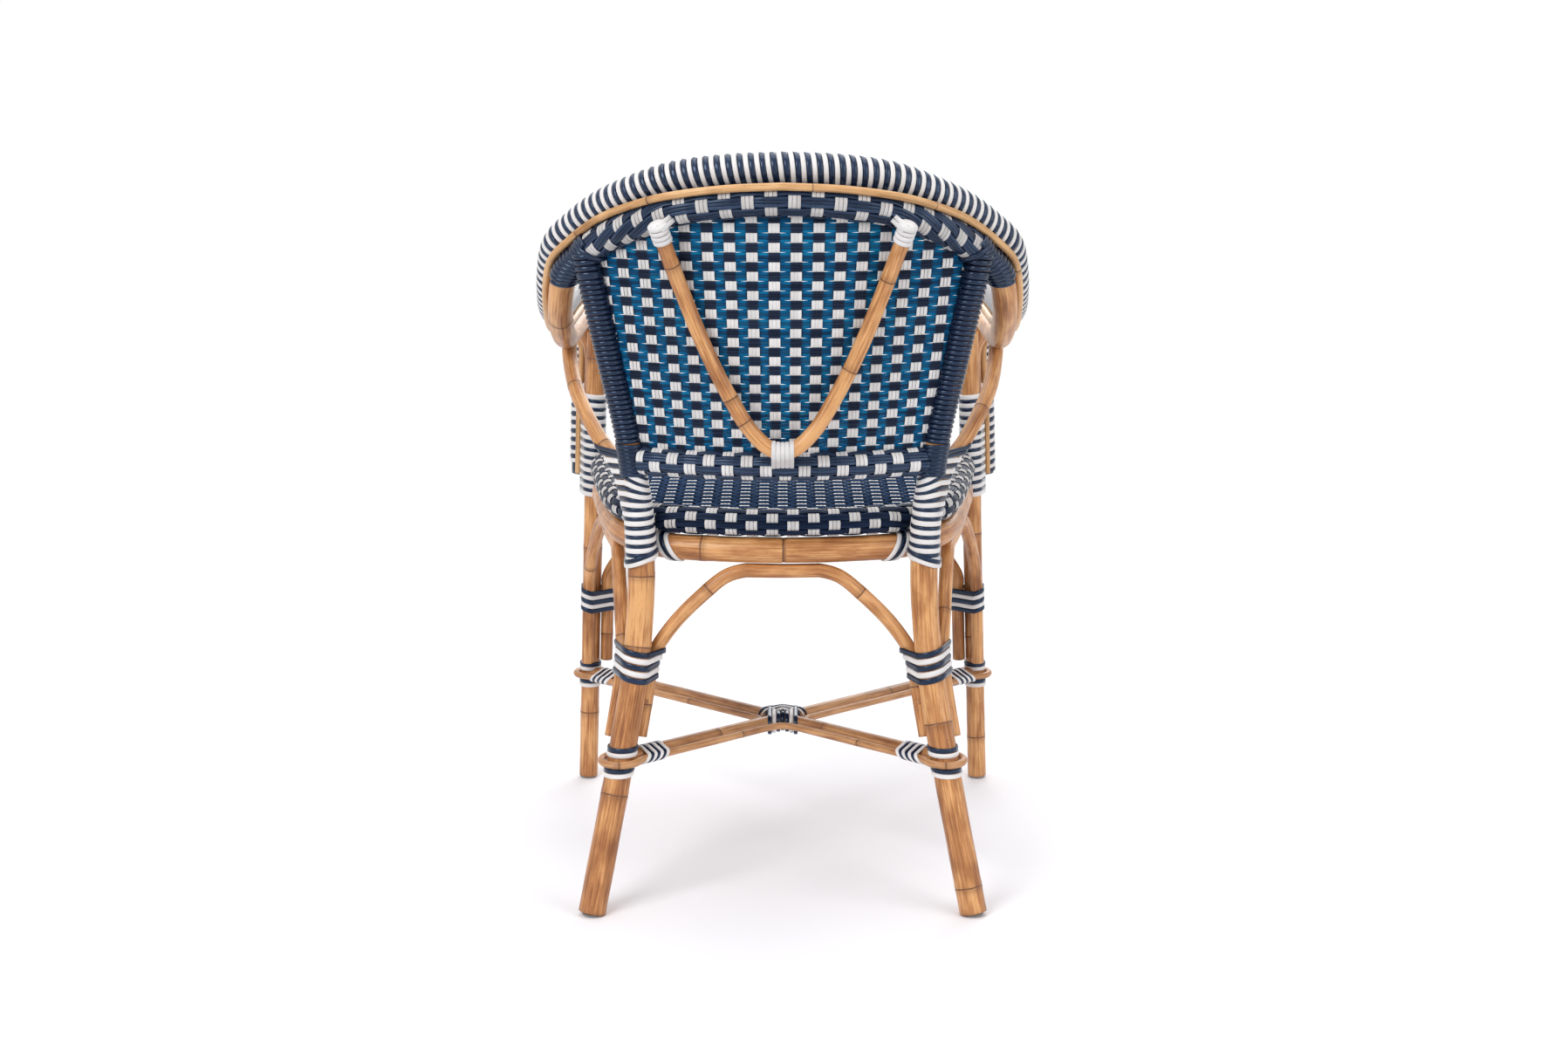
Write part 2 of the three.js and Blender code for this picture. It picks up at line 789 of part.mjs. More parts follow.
const rearTie = atHeight(postCurve, rearStretcherHeight)
const frontTie = atHeight(frontLegCurve, frontStretcherHeight)
const stretcherLine = new THREE.LineCurve3(rearTie, reflected(frontTie))
const crossShare = rearTie.x / (rearTie.x + frontTie.x)
const crossPoint = stretcherLine.getPoint(crossShare)

// Crossbar and brace of the back

const crossbarEnd = atHeight(postCurve, crossbarHeight)
const crossbarCurve = smooth(crossbarShares.map(s => vec(
  crossbarEnd.x * s[0], crossbarEnd.y + (crossbarBack - crossbarEnd.y) * s[1], crossbarHeight)))

// Point of the woven panel: across from -1 to 1, up from the crossbar to the bow
function panelPoint(across, up) {
  const low = crossbarCurve.getPointAt((across + 1) / 2)
  const high = bowCurve.getPointAt(0.5 + across * joinShare / 2)
  const point = low.lerp(high, up)
  point.y += (bowBack - crossbarBack) * panelBulgeShare * Math.sin(Math.PI * up) * (1 - across ** 2)
  return point
}

function panelNormal(across, up) {
  const small = 0.01
  const [left, right] = [Math.max(-1, across - small), Math.min(1, across + small)]
  const [low, high] = [Math.max(0, up - small), Math.min(1, up + small)]
  const alongRow = panelPoint(right, up).sub(panelPoint(left, up))
  const alongColumn = panelPoint(across, high).sub(panelPoint(across, low))
  return alongColumn.cross(alongRow).normalize()
}

const braceSeat = wrapReach(braceRadius) + coverReach + clearance
function bracePoints() {
  const onBow = stationOfHalf(braceHalf)
  const top = onBow.addScaledVector(inSide(braceTopShares), braceSeat)
  const onBar = vec(0, crossbarBack, crossbarHeight)
  const foot = onBar.addScaledVector(
    inSide(braceFootShares), crossbarRadius + barCoverThickness + wrapReach(braceRadius) + clearance)
  const half = [top]
  for (const s of braceShares) {
    const height = top.z + (foot.z - top.z) * s[1]
    const x = braceHalf * s[0]
    half.push(vec(x, behindPanel(x, height, foot.y), height))
  }
  return half
}

function stationOfHalf(x) {
  for (let i = 0; i <= 400; i += 1) {
    const point = bowHalfCurve.getPointAt(i / 800)
    if (point.x >= x) return point
  }
  return bowHalfCurve.getPointAt(0)
}

// Depth of a brace pole that lies against the rear of the panel
function behindPanel(x, height, least) {
  let depth = least
  for (let i = 0; i <= 20; i += 1) {
    const up = i / 20
    const across = THREE.MathUtils.clamp(x / Math.max(panelPoint(1, up).x, braceRadius), -1, 1)
    const point = panelPoint(across, up)
    if (Math.abs(point.z - height) < braceRadius * 2) depth = Math.max(depth, point.y)
  }
  const off = panelThickness / 2 + wrapReach(braceRadius) + clearance
  return Math.max(least, depth + off)
}

const braceHalfPoints = bracePoints()
const braceCurve = smooth([...braceHalfPoints.slice(0, -1).map(reflected), ...braceHalfPoints.toReversed()])

// Assembly

const chair = new THREE.Group()

function material(colour, roughness) {
  return new THREE.MeshStandardMaterial({ color: colour, roughness, metalness: 0, flatShading: true })
}

const pieces = []

function add(name, solid, colour, roughness = 0.5) {
  pieces.push({ name, solid, colour, roughness })
  return solid
}

function addPair(name, solid, colour, roughness = 0.5) {
  add(`${name}_left`, solid, colour, roughness)
  add(`${name}_right`, solid.mirror([1, 0, 0]), colour, roughness)
}

const mirrored = solid => solid.mirror([1, 0, 0])
const both = solid => [solid, mirrored(solid)]

// Everything below the top of the glides, to cut the feet flat
const wide = 4 * bowHalf
const floorCut = boxSolid(wide, wide, wide, vec(0, 0, glideHeight + clearance - wide / 2))

// Poles grown by the clearance, ring by ring, that notch their neighbours
const grownRadius = (radius, sides) => radius + clearance / Math.cos(Math.PI / sides)
const grown = (curve, radius, sides) => poleSolid(curve, grownRadius(radius, sides), sides)
const bowGrown = grown(bowCurve, bowRadius, longSides)
const postGrown = taperedSolid(postCurve, height => grownRadius(postRadiusAt(height), longSides), longSides)
const frontLegGrown = grown(frontLegCurve, frontLegRadius, longSides)

// Poles that stand on the floor, notched at the top where they meet the bow
const post = less(taperedSolid(postCurve, postRadiusAt, longSides), [floorCut, bowGrown])
addPair('rear_post', post, poleColour)
const frontLeg = less(poleSolid(frontLegCurve, frontLegRadius, longSides), [floorCut, bowGrown])
addPair('front_leg', frontLeg, poleColour)

function glide(curve) {
  const foot = atHeight(curve, glideHeight)
  const bevel = glideHeight / 3
  const outline = [
    new THREE.Vector2(0, 0), new THREE.Vector2(glideRadius - bevel, 0),
    new THREE.Vector2(glideRadius, bevel), new THREE.Vector2(glideRadius, glideHeight),
    new THREE.Vector2(0, glideHeight),
  ]
  const disc = new THREE.LatheGeometry(outline, glideSides)
  disc.rotateX(Math.PI / 2)
  disc.translate(foot.x, foot.y, 0)
  return toSolid(disc)
}
addPair('rear_glide', glide(postCurve), glideColour, 0.6)
addPair('front_glide', glide(frontLegCurve), glideColour, 0.6)

// Bow, rim and the thin strips in the creases between them
add('arm_bow', poleSolid(bowCurve, bowRadius, longSides), poleColour)
const rimCurve = smooth(bothHalves(besideBowPoints(0, 0, rimFootHeight)))
add('rim_band', poleSolid(rimCurve, rimRadius, longSides), navyColour, 0.4)
const rimHalfCurve = smooth(besideBowPoints(0, 0, rimFootHeight))
const stripNeighbours = [
  [bowHalfCurve, bowRadius + stripRadius + clearance + chordError / 2],
  [rimHalfCurve, rimRadius + stripRadius + clearance + chordError / 2],
]
const stripPoints = (side, from, footHeight) => besideBowPoints(side, from, footHeight).map(
  (point, i) => (i === 0 ? point : pushedOff(point, stripNeighbours)))
const outerStripCurve = smooth(bothHalves(stripPoints(1, 0, outerStripFootHeight)))
add('outer_strip', poleSolid(outerStripCurve, stripRadius, stripSides), poleColour)
const innerStripCurve = smooth(stripPoints(-1, lashingTo, innerStripFootHeight))
addPair('inner_strip', poleSolid(innerStripCurve, stripRadius, stripSides), poleColour)

// Struts under the arms
const strut = less(poleSolid(strutCurve, strutRadius, slimSides), [bowGrown, postGrown])
addPair('arm_strut', strut, poleColour)

// Seat rail and the woven seat on it
add('seat_rail', loopSolid(railCurve, railRadius, longSides), poleColour)
const rollHeight = railHeight + railRadius + rollRadius + clearance + chordError
const rollCurve = smooth(railPoints(rollHeight), true)
const roll = loopSolid(rollCurve, rollRadius, coverSides)

// Share along the rail of the lashing beside the post
function railLashingPlace() {
  const post = atHeight(postCurve, railHeight)
  const from = post.x - wrapReach(postRadius) - railLashingLength
  for (let i = 0; i <= 1000; i += 1) if (railCurve.getPointAt(i / 1000).x >= from) return i / 1000
  return 0
}

// Front and rear of the roll's axis on a line that runs front to back
function rollCrossings(x) {
  const depths = []
  for (let i = 0; i < sizeSteps; i += 1) {
    const [a, b] = [rollCurve.getPointAt(i / sizeSteps), rollCurve.getPointAt((i + 1) / sizeSteps)]
    if ((a.x < x) !== (b.x < x)) depths.push(THREE.MathUtils.mapLinear(x, a.x, b.x, a.y, b.y))
  }
  return [Math.min(...depths), Math.max(...depths)]
}

// Half the thickness of woven reed: full on the raised columns, less in the dips between them
const wovenHalf = (thickness, i) => thickness / 2 - (i % 2 === 0 ? weaveRelief : 0)

// Woven deck inside the roll, with raised columns from front to back
function deckSolid() {
  const half = railHalf * railSideShares.at(-1)[0] - rollRadius / 2
  const strips = 4 * Math.round(half / weavePitch)
  const middle = rollHeight + rollRadius / 3 + deckThickness / 2
  const rings = []
  for (let i = 0; i <= strips; i += 1) {
    const x = half * (2 * i / strips - 1)
    const [front, rear] = rollCrossings(x)
    const [low, high] = [middle - deckThickness / 2, middle + wovenHalf(deckThickness, i)]
    rings.push([vec(x, front, low), vec(x, rear, low), vec(x, rear, high), vec(x, front, high)])
  }
  return loft(rings)
}

// Poles bundled by the striped wraps
const rearBundle = [postCurve, strutCurve]
const rearBundleRadii = [postRadius, strutRadius]
const bowLegCurve = endOf(bowHalfCurve, armHeight - armBendRadius - bowFootHeight)
const frontBundle = [frontLegCurve, bowLegCurve]
const frontBundleRadii = [frontLegRadius, bowRadius]

// Solid that fills a wrapped bundle out to its reed, to press into soft neighbours
function bundleKeepOut(curves, radii, foot, top) {
  const solids = curves.map((curve, i) => {
    const from = shareAtHeight(curve, foot - overrun)
    const to = shareAtHeight(curve, top + overrun)
    return poleSolid(stretchOf(curve, from, to), around(wrapReach(radii[i]), coverSides), coverSides)
  })
  return solids.reduce((sum, solid) => sum.add(solid))
}
const rearKeepOut = bundleKeepOut(rearBundle, rearBundleRadii, rearStripeFoot, rearStripeTop)
const frontKeepOut = bundleKeepOut([frontLegCurve], [frontLegRadius], frontStripeFoot, frontStripeTop)
const railLashingShare = railLashingPlace()
const lashingRoom = poleSolid(
  stretchOf(railCurve, railLashingShare - railLashingLength / railCurve.getLength(),
    railLashingShare + railLashingLength / railCurve.getLength()),
  around(wrapReach(railRadius), longSides), longSides)
const seat = less(roll.add(deckSolid()),
  [...both(rearKeepOut), ...both(frontKeepOut), ...both(lashingRoom)])
add('woven_seat', seat, navyColour, 0.6)

// Woven back: panel, cover of the bow and cover of the crossbar
const crossbarGrown = grown(crossbarCurve, crossbarRadius, coverSides)
function panelSolid(rows) {
  const columns = 2 * Math.round(crossbarCurve.getLength() / weavePitch)
  const corners = []
  const index = []
  const stride = rows + 1
  for (const face of [1, -1]) {
    for (let i = 0; i <= columns; i += 1) {
      for (let j = 0; j <= rows; j += 1) {
        const across = 2 * i / columns - 1
        const out = panelNormal(across, j / rows).multiplyScalar(face * wovenHalf(panelThickness, i))
        corners.push(panelPoint(across, j / rows).add(out))
      }
    }
  }
  const other = (columns + 1) * stride
  const quad = (a, b, c, d) => index.push(a, b, c, a, c, d)
  for (let i = 0; i < columns; i += 1) {
    for (let j = 0; j < rows; j += 1) {
      const a = i * stride + j
      quad(a, a + stride, a + stride + 1, a + 1)
      quad(other + a, other + a + 1, other + a + stride + 1, other + a + stride)
    }
    const low = i * stride
    const high = low + rows
    quad(low, other + low, other + low + stride, low + stride)
    quad(high, high + stride, other + high + stride, other + high)
  }
  for (let j = 0; j < rows; j += 1) {
    const end = columns * stride + j
    quad(j, j + 1, other + j + 1, other + j)
    quad(end, other + end, other + end + 1, end + 1)
  }
  return solidOf(corners, index)
}

const coverTo = lashingFrom - clearance / bowHalfLength
const coverCurve = stretchOf(bowCurve, 0.5 - coverTo / 2, 0.5 + coverTo / 2)
const bowCover = poleSolid(coverCurve, coverReach, coverSides)
const barCover = poleSolid(stretchOf(crossbarCurve, barCoverShare, 1 - barCoverShare),
  crossbarRadius + barCoverThickness, coverSides)
const postWrapKeepOut = poleSolid(stretchOf(postCurve, 0.5, 1),
  around(around(postTopRadius, longSides) + reedThickness, coverSides), coverSides)
const lashingKeepOut = poleSolid(stretchOf(bowHalfCurve, lashingFrom, lashingTo),
  around(around(bowRadius, longSides) + lashingThickness, coverSides), coverSides)
const crossbar = less(poleSolid(crossbarCurve, crossbarRadius, coverSides),
  [...both(postGrown), ...both(rearKeepOut), ...both(postWrapKeepOut)])
add('crossbar', crossbar, poleColour)
const back = less(panelSolid(panelRows).add(bowCover).add(barCover),
  [bowGrown, crossbarGrown, ...both(postWrapKeepOut), ...both(lashingKeepOut), ...both(rearKeepOut)])
add('woven_back', back, navyColour, 0.6)

// V brace on the rear of the back
add('back_brace', poleSolid(braceCurve, braceRadius, slimSides), poleColour)

// Arches under the rail
addArch('rear_arch', rearArchCurve)
addArch('front_arch', frontArchCurve)

function addArch(name, curve) {
  add(name, poleSolid(curve, archRadius, slimSides), poleColour)
}
addPair('side_arch', poleSolid(sideArchCurve, archRadius, slimSides), poleColour)

// Stretchers: two straight poles, half lapped where they cross
function stretcher(upper) {
  const line = poleSolid(stretcherLine, stretcherRadius, slimSides)
  const whole = upper ? line : mirrored(line)
  const otherLine = grown(stretcherLine, stretcherRadius, slimSides)
  const other = upper ? mirrored(otherLine) : otherLine
  const sideways = (upper ? -1 : 1) * (wide / 2 - lapGap / 2)
  const half = boxSolid(wide, wide, wide, vec(0, 0, crossPoint.z + sideways))
  return less(whole, [other.intersect(half), ...both(postGrown), ...both(frontLegGrown)])
}
add('stretcher_upper', stretcher(true), poleColour)
add('stretcher_lower', stretcher(false), poleColour)

// Axes of the four arms of the stretcher, each from its leg to the crossing
const armEnds = {
  rear_left: { tie: rearTie, curve: postCurve, radius: postRadius, grown: postGrown },
  rear_right: { tie: reflected(rearTie) },
  front_left: { tie: frontTie, curve: frontLegCurve, radius: frontLegRadius, grown: frontLegGrown },
  front_right: { tie: reflected(frontTie) },
}
const caneOffset = stretcherRadius + caneRadius + clearance + chordError

// Point at a distance from the leg's axis towards the crossing, shifted sideways by a cane
function armPoint(tie, distance, shift) {
  const along = crossPoint.clone().sub(tie).normalize()
  const across = vec(0, 0, 1).cross(along).normalize()
  return tie.clone().addScaledVector(along, distance).addScaledVector(across, shift)
}

// Cane that lies along two neighbouring arms and bends round between them
function cornerCane(first, second) {
  const half = first.tie.clone().sub(crossPoint).angleTo(second.tie.clone().sub(crossPoint)) / 2
  const start = lashingStart + lashingLength / 2
  const run = (tie, shift) => {
    const span = crossPoint.distanceTo(tie) - caneStandoff / Math.tan(half)
    return [start, (start + span) / 2, span].map(distance => armPoint(tie, distance, shift))
  }
  const [one, other] = [run(first.tie, caneOffset), run(second.tie, -caneOffset)]
  const corner = crossPoint.distanceTo(first.tie) - caneOffset / Math.tan(half)
  const meeting = armPoint(first.tie, corner, caneOffset)
  const bend = new THREE.QuadraticBezierCurve3(one.at(-1), meeting, other.at(-1))
  return smooth([...one, ...bend.getPoints(4).slice(1, -1), ...other.reverse()])
}

const cornerPairs = {
  rear: ['rear_right', 'rear_left'],
  left: ['rear_left', 'front_left'],
  front: ['front_left', 'front_right'],
  right: ['front_right', 'rear_right'],
}
for (const [side, [first, second]] of Object.entries(cornerPairs)) {
  const curve = cornerCane(armEnds[first], armEnds[second])
  add(`stretcher_cane_${side}`, poleSolid(curve, caneRadius, stripSides), poleColour)
}

// Band of reed round a leg, under the loop that ties the stretcher to it
function legBand(end) {
  const middle = shareAtHeight(end.curve, end.tie.z)
  const half = bandHeight / 2 / end.curve.getLength()
  return sleeve(end.curve, end.radius, reedThickness, middle - half, middle + half, slimSides, end.grown)
}

// Loop of thin cane round the leg, its two ends along the stretcher
function legLoop(end) {
  const radius = around(end.radius, slimSides) + reedThickness + caneRadius + clearance + 2 * chordError
  const along = crossPoint.clone().sub(end.tie).setZ(0).normalize()
  const across = vec(0, 0, 1).cross(along)
  const bend = []
  for (const turn of [-0.5, -0.25, 0, 0.25, 0.5]) {
    const angle = Math.PI * (1 + turn)
    bend.push(end.tie.clone().addScaledVector(along, radius * Math.cos(angle))
      .addScaledVector(across, radius * Math.sin(angle)))
  }
  const reach = lashingStart + lashingLength / 2 - caneRadius
  const [first, second] = [caneOffset, -caneOffset].map(
    shift => [reach, lashingStart].map(distance => armPoint(end.tie, distance, shift)))
  return smooth([...first, ...bend, ...second.toReversed()])
}

function stretcherLashing(name, end) {
  const span = crossPoint.distanceTo(end.tie)
  const line = new THREE.LineCurve3(end.tie, crossPoint)
  const section = poleSection(line, lashingStart / span, (lashingStart + lashingLength) / span,
    [0, caneOffset, -caneOffset], [stretcherRadius, caneRadius, caneRadius])
  return winding(name, section, lashingTurns, lashingLength)
}

for (const [place, end] of Object.entries(armEnds)) {
  if (!place.endsWith('left')) continue
  const side = place.split('_')[0]
  const loop = poleSolid(legLoop(end), caneRadius, stripSides)
  const line = grown(stretcherLine, stretcherRadius, slimSides)
  addPair(`${side}_leg_loop`, loop, poleColour)
  addPair(`${side}_leg_band`, less(legBand(end), both(line)), navyColour, 0.4)
  addPair(`${side}_stretcher_lashing`, stretcherLashing(`${side}_stretcher_lashing`, end), navyColour, 0.4)
}

// Crossed wrap over the middle of the stretchers
function centreWrap() {
  const half = centreWrapLength / 2 / stretcherLine.getLength()
  const stretch = stretchOf(stretcherLine, crossShare - half, crossShare + half)
  const radius = around(stretcherRadius, slimSides) + 2 * reedThickness
  const [one, other] = both(poleSolid(stretch, radius, slimSides))
  return less(one.add(other), both(grown(stretcherLine, stretcherRadius, slimSides)))
}
add('centre_wrap', centreWrap(), navyColour, 0.4)

// Bindings of the arches to the legs
const rearRise = archShoulderHeight + rearBindingLength - rearArchFoot
const frontRise = archShoulderHeight + frontBindingLength - frontArchFoot
const rearArchLeg = startOf(rearArchCurve, rearRise)
const sideArchRearLeg = startOf(sideArchCurve, rearRise)
const sideArchFrontLeg = endOf(sideArchCurve, frontRise)
const frontArchLeg = startOf(frontArchCurve, frontRise)

function legBinding(name, curves, legRadius, height, length) {
  const radii = [legRadius, archRadius, archRadius]
  const section = uprightSection(
    curves, radii, height - length / 2, height + length / 2, bindingTurns)
  addPair(name, winding(name, section, bindingTurns, length), navyColour, 0.4)
}
legBinding('rear_binding', [postCurve, rearArchLeg, sideArchRearLeg], postRadius,
  rearBindingHeight, rearBindingLength)
legBinding('front_binding', [frontLegCurve, frontArchLeg, sideArchFrontLeg], frontLegRadius,
  frontBindingHeight, frontBindingLength)

// Striped wraps: the strut to the post, the bow to the front leg
function stripedWrap(name, curves, radii, foot, top, pitch) {
  const turns = Math.max(1, Math.round((top - foot) / pitch) - 1)
  const section = pairSection(curves, radii, foot, top, turns)
  addPair(name, winding(name, section, turns, top - foot), whiteColour, 0.4)
}
stripedWrap('rear_striped_wrap', rearBundle, rearBundleRadii, rearStripeFoot, rearStripeTop, rearStripePitch)
stripedWrap(
  'front_striped_wrap', frontBundle, frontBundleRadii, frontStripeFoot, frontStripeTop, frontStripePitch)

// Navy wrap of the posts and lashing where they meet the bow
const postWrapFrom = shareAtHeight(postCurve, postWrapFoot)
const postWrapTo = shareAtHeight(postCurve, postHeight - postLashingLength)
const postSleeve = sleeve(
  postCurve, postTopRadius, reedThickness, postWrapFrom, postWrapTo, longSides, postGrown)
addPair('post_wrap', less(postSleeve, [bowGrown, lashingKeepOut]), navyColour, 0.4)

function bowLashing() {
  const onBow = poleSolid(stretchOf(bowHalfCurve, lashingFrom, lashingTo),
    around(bowRadius, longSides) + lashingThickness, coverSides)
  const lashingFoot = postWrapTo + clearance / postCurve.getLength()
  const onPost = poleSolid(stretchOf(postCurve, lashingFoot, 1),
    around(postTopRadius, longSides) + lashingThickness, coverSides)
  return less(onBow.add(onPost), [bowGrown, postGrown])
}
addPair('bow_lashing', bowLashing(), navyColour, 0.4)

// White wraps of the brace and lashings of the rail beside the posts
const braceLength = braceCurve.getLength()
function braceWrap(name, middle, gap) {
  const half = braceWrapLength / 2 / braceLength
  const section = poleSection(braceCurve, middle - half, middle + half, [0], [braceRadius])
  return winding(name, section, braceWrapTurns, braceWrapLength, gap)
}
add('brace_wrap_foot', braceWrap('brace_wrap_foot', 0.5, 2 * bentReedGap), whiteColour, 0.4)
const braceTopShare = 1 - braceWrapLength / 2 / braceLength
addPair('brace_wrap', braceWrap('brace_wrap', braceTopShare, reedGap), whiteColour, 0.4)

function railLashing() {
  const length = railCurve.getLength()
  const middle = railLashingShare
  const half = railLashingLength / 2 / length
  const section = poleSection(railCurve, middle - half, middle + half, [0], [railRadius])
  return winding('rail_lashing', section, railLashingTurns, railLashingLength, bentReedGap)
}
addPair('rail_lashing', railLashing(), navyColour, 0.4)

// The part's frame: middle of the bounding box over the origin
const box = new THREE.Box3()
for (const piece of pieces) {
  const bounds = piece.solid.boundingBox()
  box.expandByPoint(vec(...bounds.min))
  box.expandByPoint(vec(...bounds.max))
}
const middleOfBox = box.getCenter(vec(0, 0, 0))

for (const piece of pieces) {
  const mesh = new THREE.Mesh(toGeometry(piece.solid), material(piece.colour, piece.roughness))
  mesh.name = piece.name
  mesh.position.y = -middleOfBox.y
  chair.add(mesh)
}
console.log(`Least gaps between turns: ${windingGaps.join(', ')}`)

export default chair
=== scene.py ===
"""Rattan bistro armchair: bent poles, woven seat and back, wound reed.

Metres in the scene, +Z up; the sitter faces -Y and the sitter's left is +X.
Routes and sizes are written in millimetres and turned to metres in each mesh.
"""

import math

import bpy
import numpy as np
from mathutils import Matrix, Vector
from mathutils.bvhtree import BVHTree


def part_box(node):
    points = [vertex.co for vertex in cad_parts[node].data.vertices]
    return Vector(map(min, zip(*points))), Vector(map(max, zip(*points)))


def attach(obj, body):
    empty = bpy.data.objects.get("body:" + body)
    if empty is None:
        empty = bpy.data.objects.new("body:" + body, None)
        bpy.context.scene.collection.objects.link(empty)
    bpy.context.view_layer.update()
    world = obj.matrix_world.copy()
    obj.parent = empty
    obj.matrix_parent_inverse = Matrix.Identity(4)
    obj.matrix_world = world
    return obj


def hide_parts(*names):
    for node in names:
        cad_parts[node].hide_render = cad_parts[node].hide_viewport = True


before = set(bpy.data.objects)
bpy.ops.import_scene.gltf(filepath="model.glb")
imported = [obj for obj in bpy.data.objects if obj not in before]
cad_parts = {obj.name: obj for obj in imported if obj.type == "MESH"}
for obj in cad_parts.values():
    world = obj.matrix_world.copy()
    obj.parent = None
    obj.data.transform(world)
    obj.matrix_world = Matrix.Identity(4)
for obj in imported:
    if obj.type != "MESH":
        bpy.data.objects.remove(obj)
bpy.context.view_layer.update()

MM = 0.001
UP = np.array([0.0, 0.0, 1.0])
ASIDE = np.array([1.0, 0.0, 0.0])
ROUTE_STEPS = 32
rng = np.random.default_rng(11)


# Vectors and routes

def vec(x, y, z):
    return np.array([x, y, z], float)


def unit(v):
    v = np.asarray(v, float)
    return v / np.maximum(np.linalg.norm(v, axis=-1, keepdims=True), 1e-9)


def reflected(point):
    return np.asarray(point, float) * (-1, 1, 1)


def both_halves(half):
    return [reflected(p) for p in reversed(half[1:])] + list(half)


def smoothstep(x, low, high):
    t = np.clip((np.asarray(x, float) - low) / (high - low), 0, 1)
    return t * t * (3 - 2 * t)


class Route:
    """Smooth route through points, read by the share of its length."""

    def __init__(self, points, closed=False):
        p = np.array(points, float)
        if closed:
            control = np.vstack([p[-1:], p, p[:2]])
        else:
            control = np.vstack([2 * p[0] - p[1], p, 2 * p[-1] - p[-2]])
        t = np.linspace(0, 1, ROUTE_STEPS, endpoint=False)[:, None]
        dense = []
        for p0, p1, p2, p3 in zip(control, control[1:], control[2:], control[3:]):
            d0, d1, d2 = (math.sqrt(np.linalg.norm(b - a)) for a, b in ((p0, p1), (p1, p2), (p2, p3)))
            m1 = ((p1 - p0) / d0 - (p2 - p0) / (d0 + d1) + (p2 - p1) / d1) * d1
            m2 = ((p2 - p1) / d1 - (p3 - p1) / (d1 + d2) + (p3 - p2) / d2) * d1
            dense.append(p1 + m1 * t + (3 * (p2 - p1) - 2 * m1 - m2) * t ** 2
                         + (2 * (p1 - p2) + m1 + m2) * t ** 3)
        self.closed = closed
        self.dense = np.vstack(dense + [p[:1] if closed else p[-1:]])
        steps = np.linalg.norm(np.diff(self.dense, axis=0), axis=1)
        run = np.concatenate([[0], np.cumsum(steps)])
        self.length = run[-1]
        self.shares = run / run[-1]

    def at(self, share):
        share = np.asarray(share, float)
        if self.closed:
            share = share % 1
        return np.stack([np.interp(share, self.shares, self.dense[:, i]) for i in range(3)], axis=-1)

    def tangent(self, share):
        share = np.asarray(share, float)
        small = 2 / self.length
        low, high = share - small, share + small
        if not self.closed:
            low, high = np.clip(low, 0, 1), np.clip(high, 0, 1)
        return unit(self.at(high) - self.at(low))

    def share_at_height(self, height):
        z = self.dense[:, 2]
        if z[-1] > z[0]:
            return float(np.interp(height, z, self.shares))
        return float(np.interp(height, z[::-1], self.shares[::-1]))

    def at_height(self, height):
        return self.at(self.share_at_height(height))

    def nearest(self, point):
        return float(self.shares[np.argmin(np.linalg.norm(self.dense - point, axis=1))])

    def stretch(self, low, high):
        return Route(self.at(np.linspace(low, high, 25)))


# Routes of the poles, shared by the mirrored sides; the sitter's left

POST_RADIUS, POST_TOP_RADIUS, LEG_RADIUS = 16, 13.6, 12.6
BOW_RADIUS, RIM_RADIUS, STRIP_RADIUS, STRUT_RADIUS = 14.5, 17.3, 4.3, 9
RAIL_RADIUS, ARCH_RADIUS, BAR_RADIUS, BRACE_RADIUS = 15, 8.4, 12, 8.7
STRETCHER_RADIUS, CANE_RADIUS, ROLL_RADIUS = 9.5, 4.3, 17
CLEARANCE, CHORD = 0.3, 0.57
ARM_HEIGHT, BOW_HALF, ELBOW_BACK, BOW_BACK, BOW_RISE, ARM_BEND = 650, 262, 10, 308, 182, 52
POST_HEIGHT, RAIL_HEIGHT, BAR_HEIGHT, BAR_BACK = 766, 421, 531, 236
RAIL_HALF, RAIL_BACK, RAIL_REACH = 236, 195, 213
REAR_TIE_HEIGHT, FRONT_TIE_HEIGHT, BAND_HEIGHT = 180, 151, 36
SHOULDER_HEIGHT = 290
GLIDE_HEIGHT = 3
LEAST_TOUCH = 5 * math.pi / 12
BOW_FOOT, RIM_FOOT, OUTER_STRIP_FOOT, INNER_STRIP_FOOT = 402, 420, 424, 486
LASHING_BELOW, LASHING_ABOVE, FRONT_STRIPE_TOP = 31, 57, 545
STRIP_TURN, STRIP_TURN_FADE = math.radians(28), (100, 220)
STRUT_FOOT, STRUT_JOIN = 452, 514
REAR_FLAT, FRONT_FLAT, SIDE_FLAT_REAR, SIDE_FLAT_FRONT = 42, 120, 58, -88
BRACE_HALF, CANE_BEND = 135, 37
POST_HALF, POST_BACK, LEG_HALF, LEG_REACH, LEG_HEIGHT, BOW_LEG_SHIFT = 224, 270, 271, 228, 640, 5
WRAP_THICKNESS, COVER_THICKNESS, COVER_SIDES = 2, 2.2, 8


def around(radius, sides):
    return (radius + CLEARANCE + CHORD) / math.cos(math.pi / sides)


def wrap_reach(radius):
    return around(radius, 4 * math.pi / (math.pi - LEAST_TOUCH)) + WRAP_THICKNESS


POST_SHARES = [(1, 1, 0), (0.848, 0.889, 0.231), (0.769, 0.8, 0.372), (0.736, 0.726, 0.522),
               (0.775, 0.726, 0.692), (0.877, 0.796, 0.849), (0.978, 0.872, 1)]
LEG_SHARES = [(1, -1, 0), (0.955, -0.976, 0.5), (0.91, -0.93, 1)]
post = Route([(POST_HALF * a, POST_BACK * b, POST_HEIGHT * c) for a, b, c in POST_SHARES])
leg = Route([(LEG_HALF * a, LEG_REACH * b, LEG_HEIGHT * c) for a, b, c in LEG_SHARES])


def post_radius(height):
    return POST_RADIUS + (POST_TOP_RADIUS - POST_RADIUS) * smoothstep(height, RAIL_HEIGHT, BAR_HEIGHT)


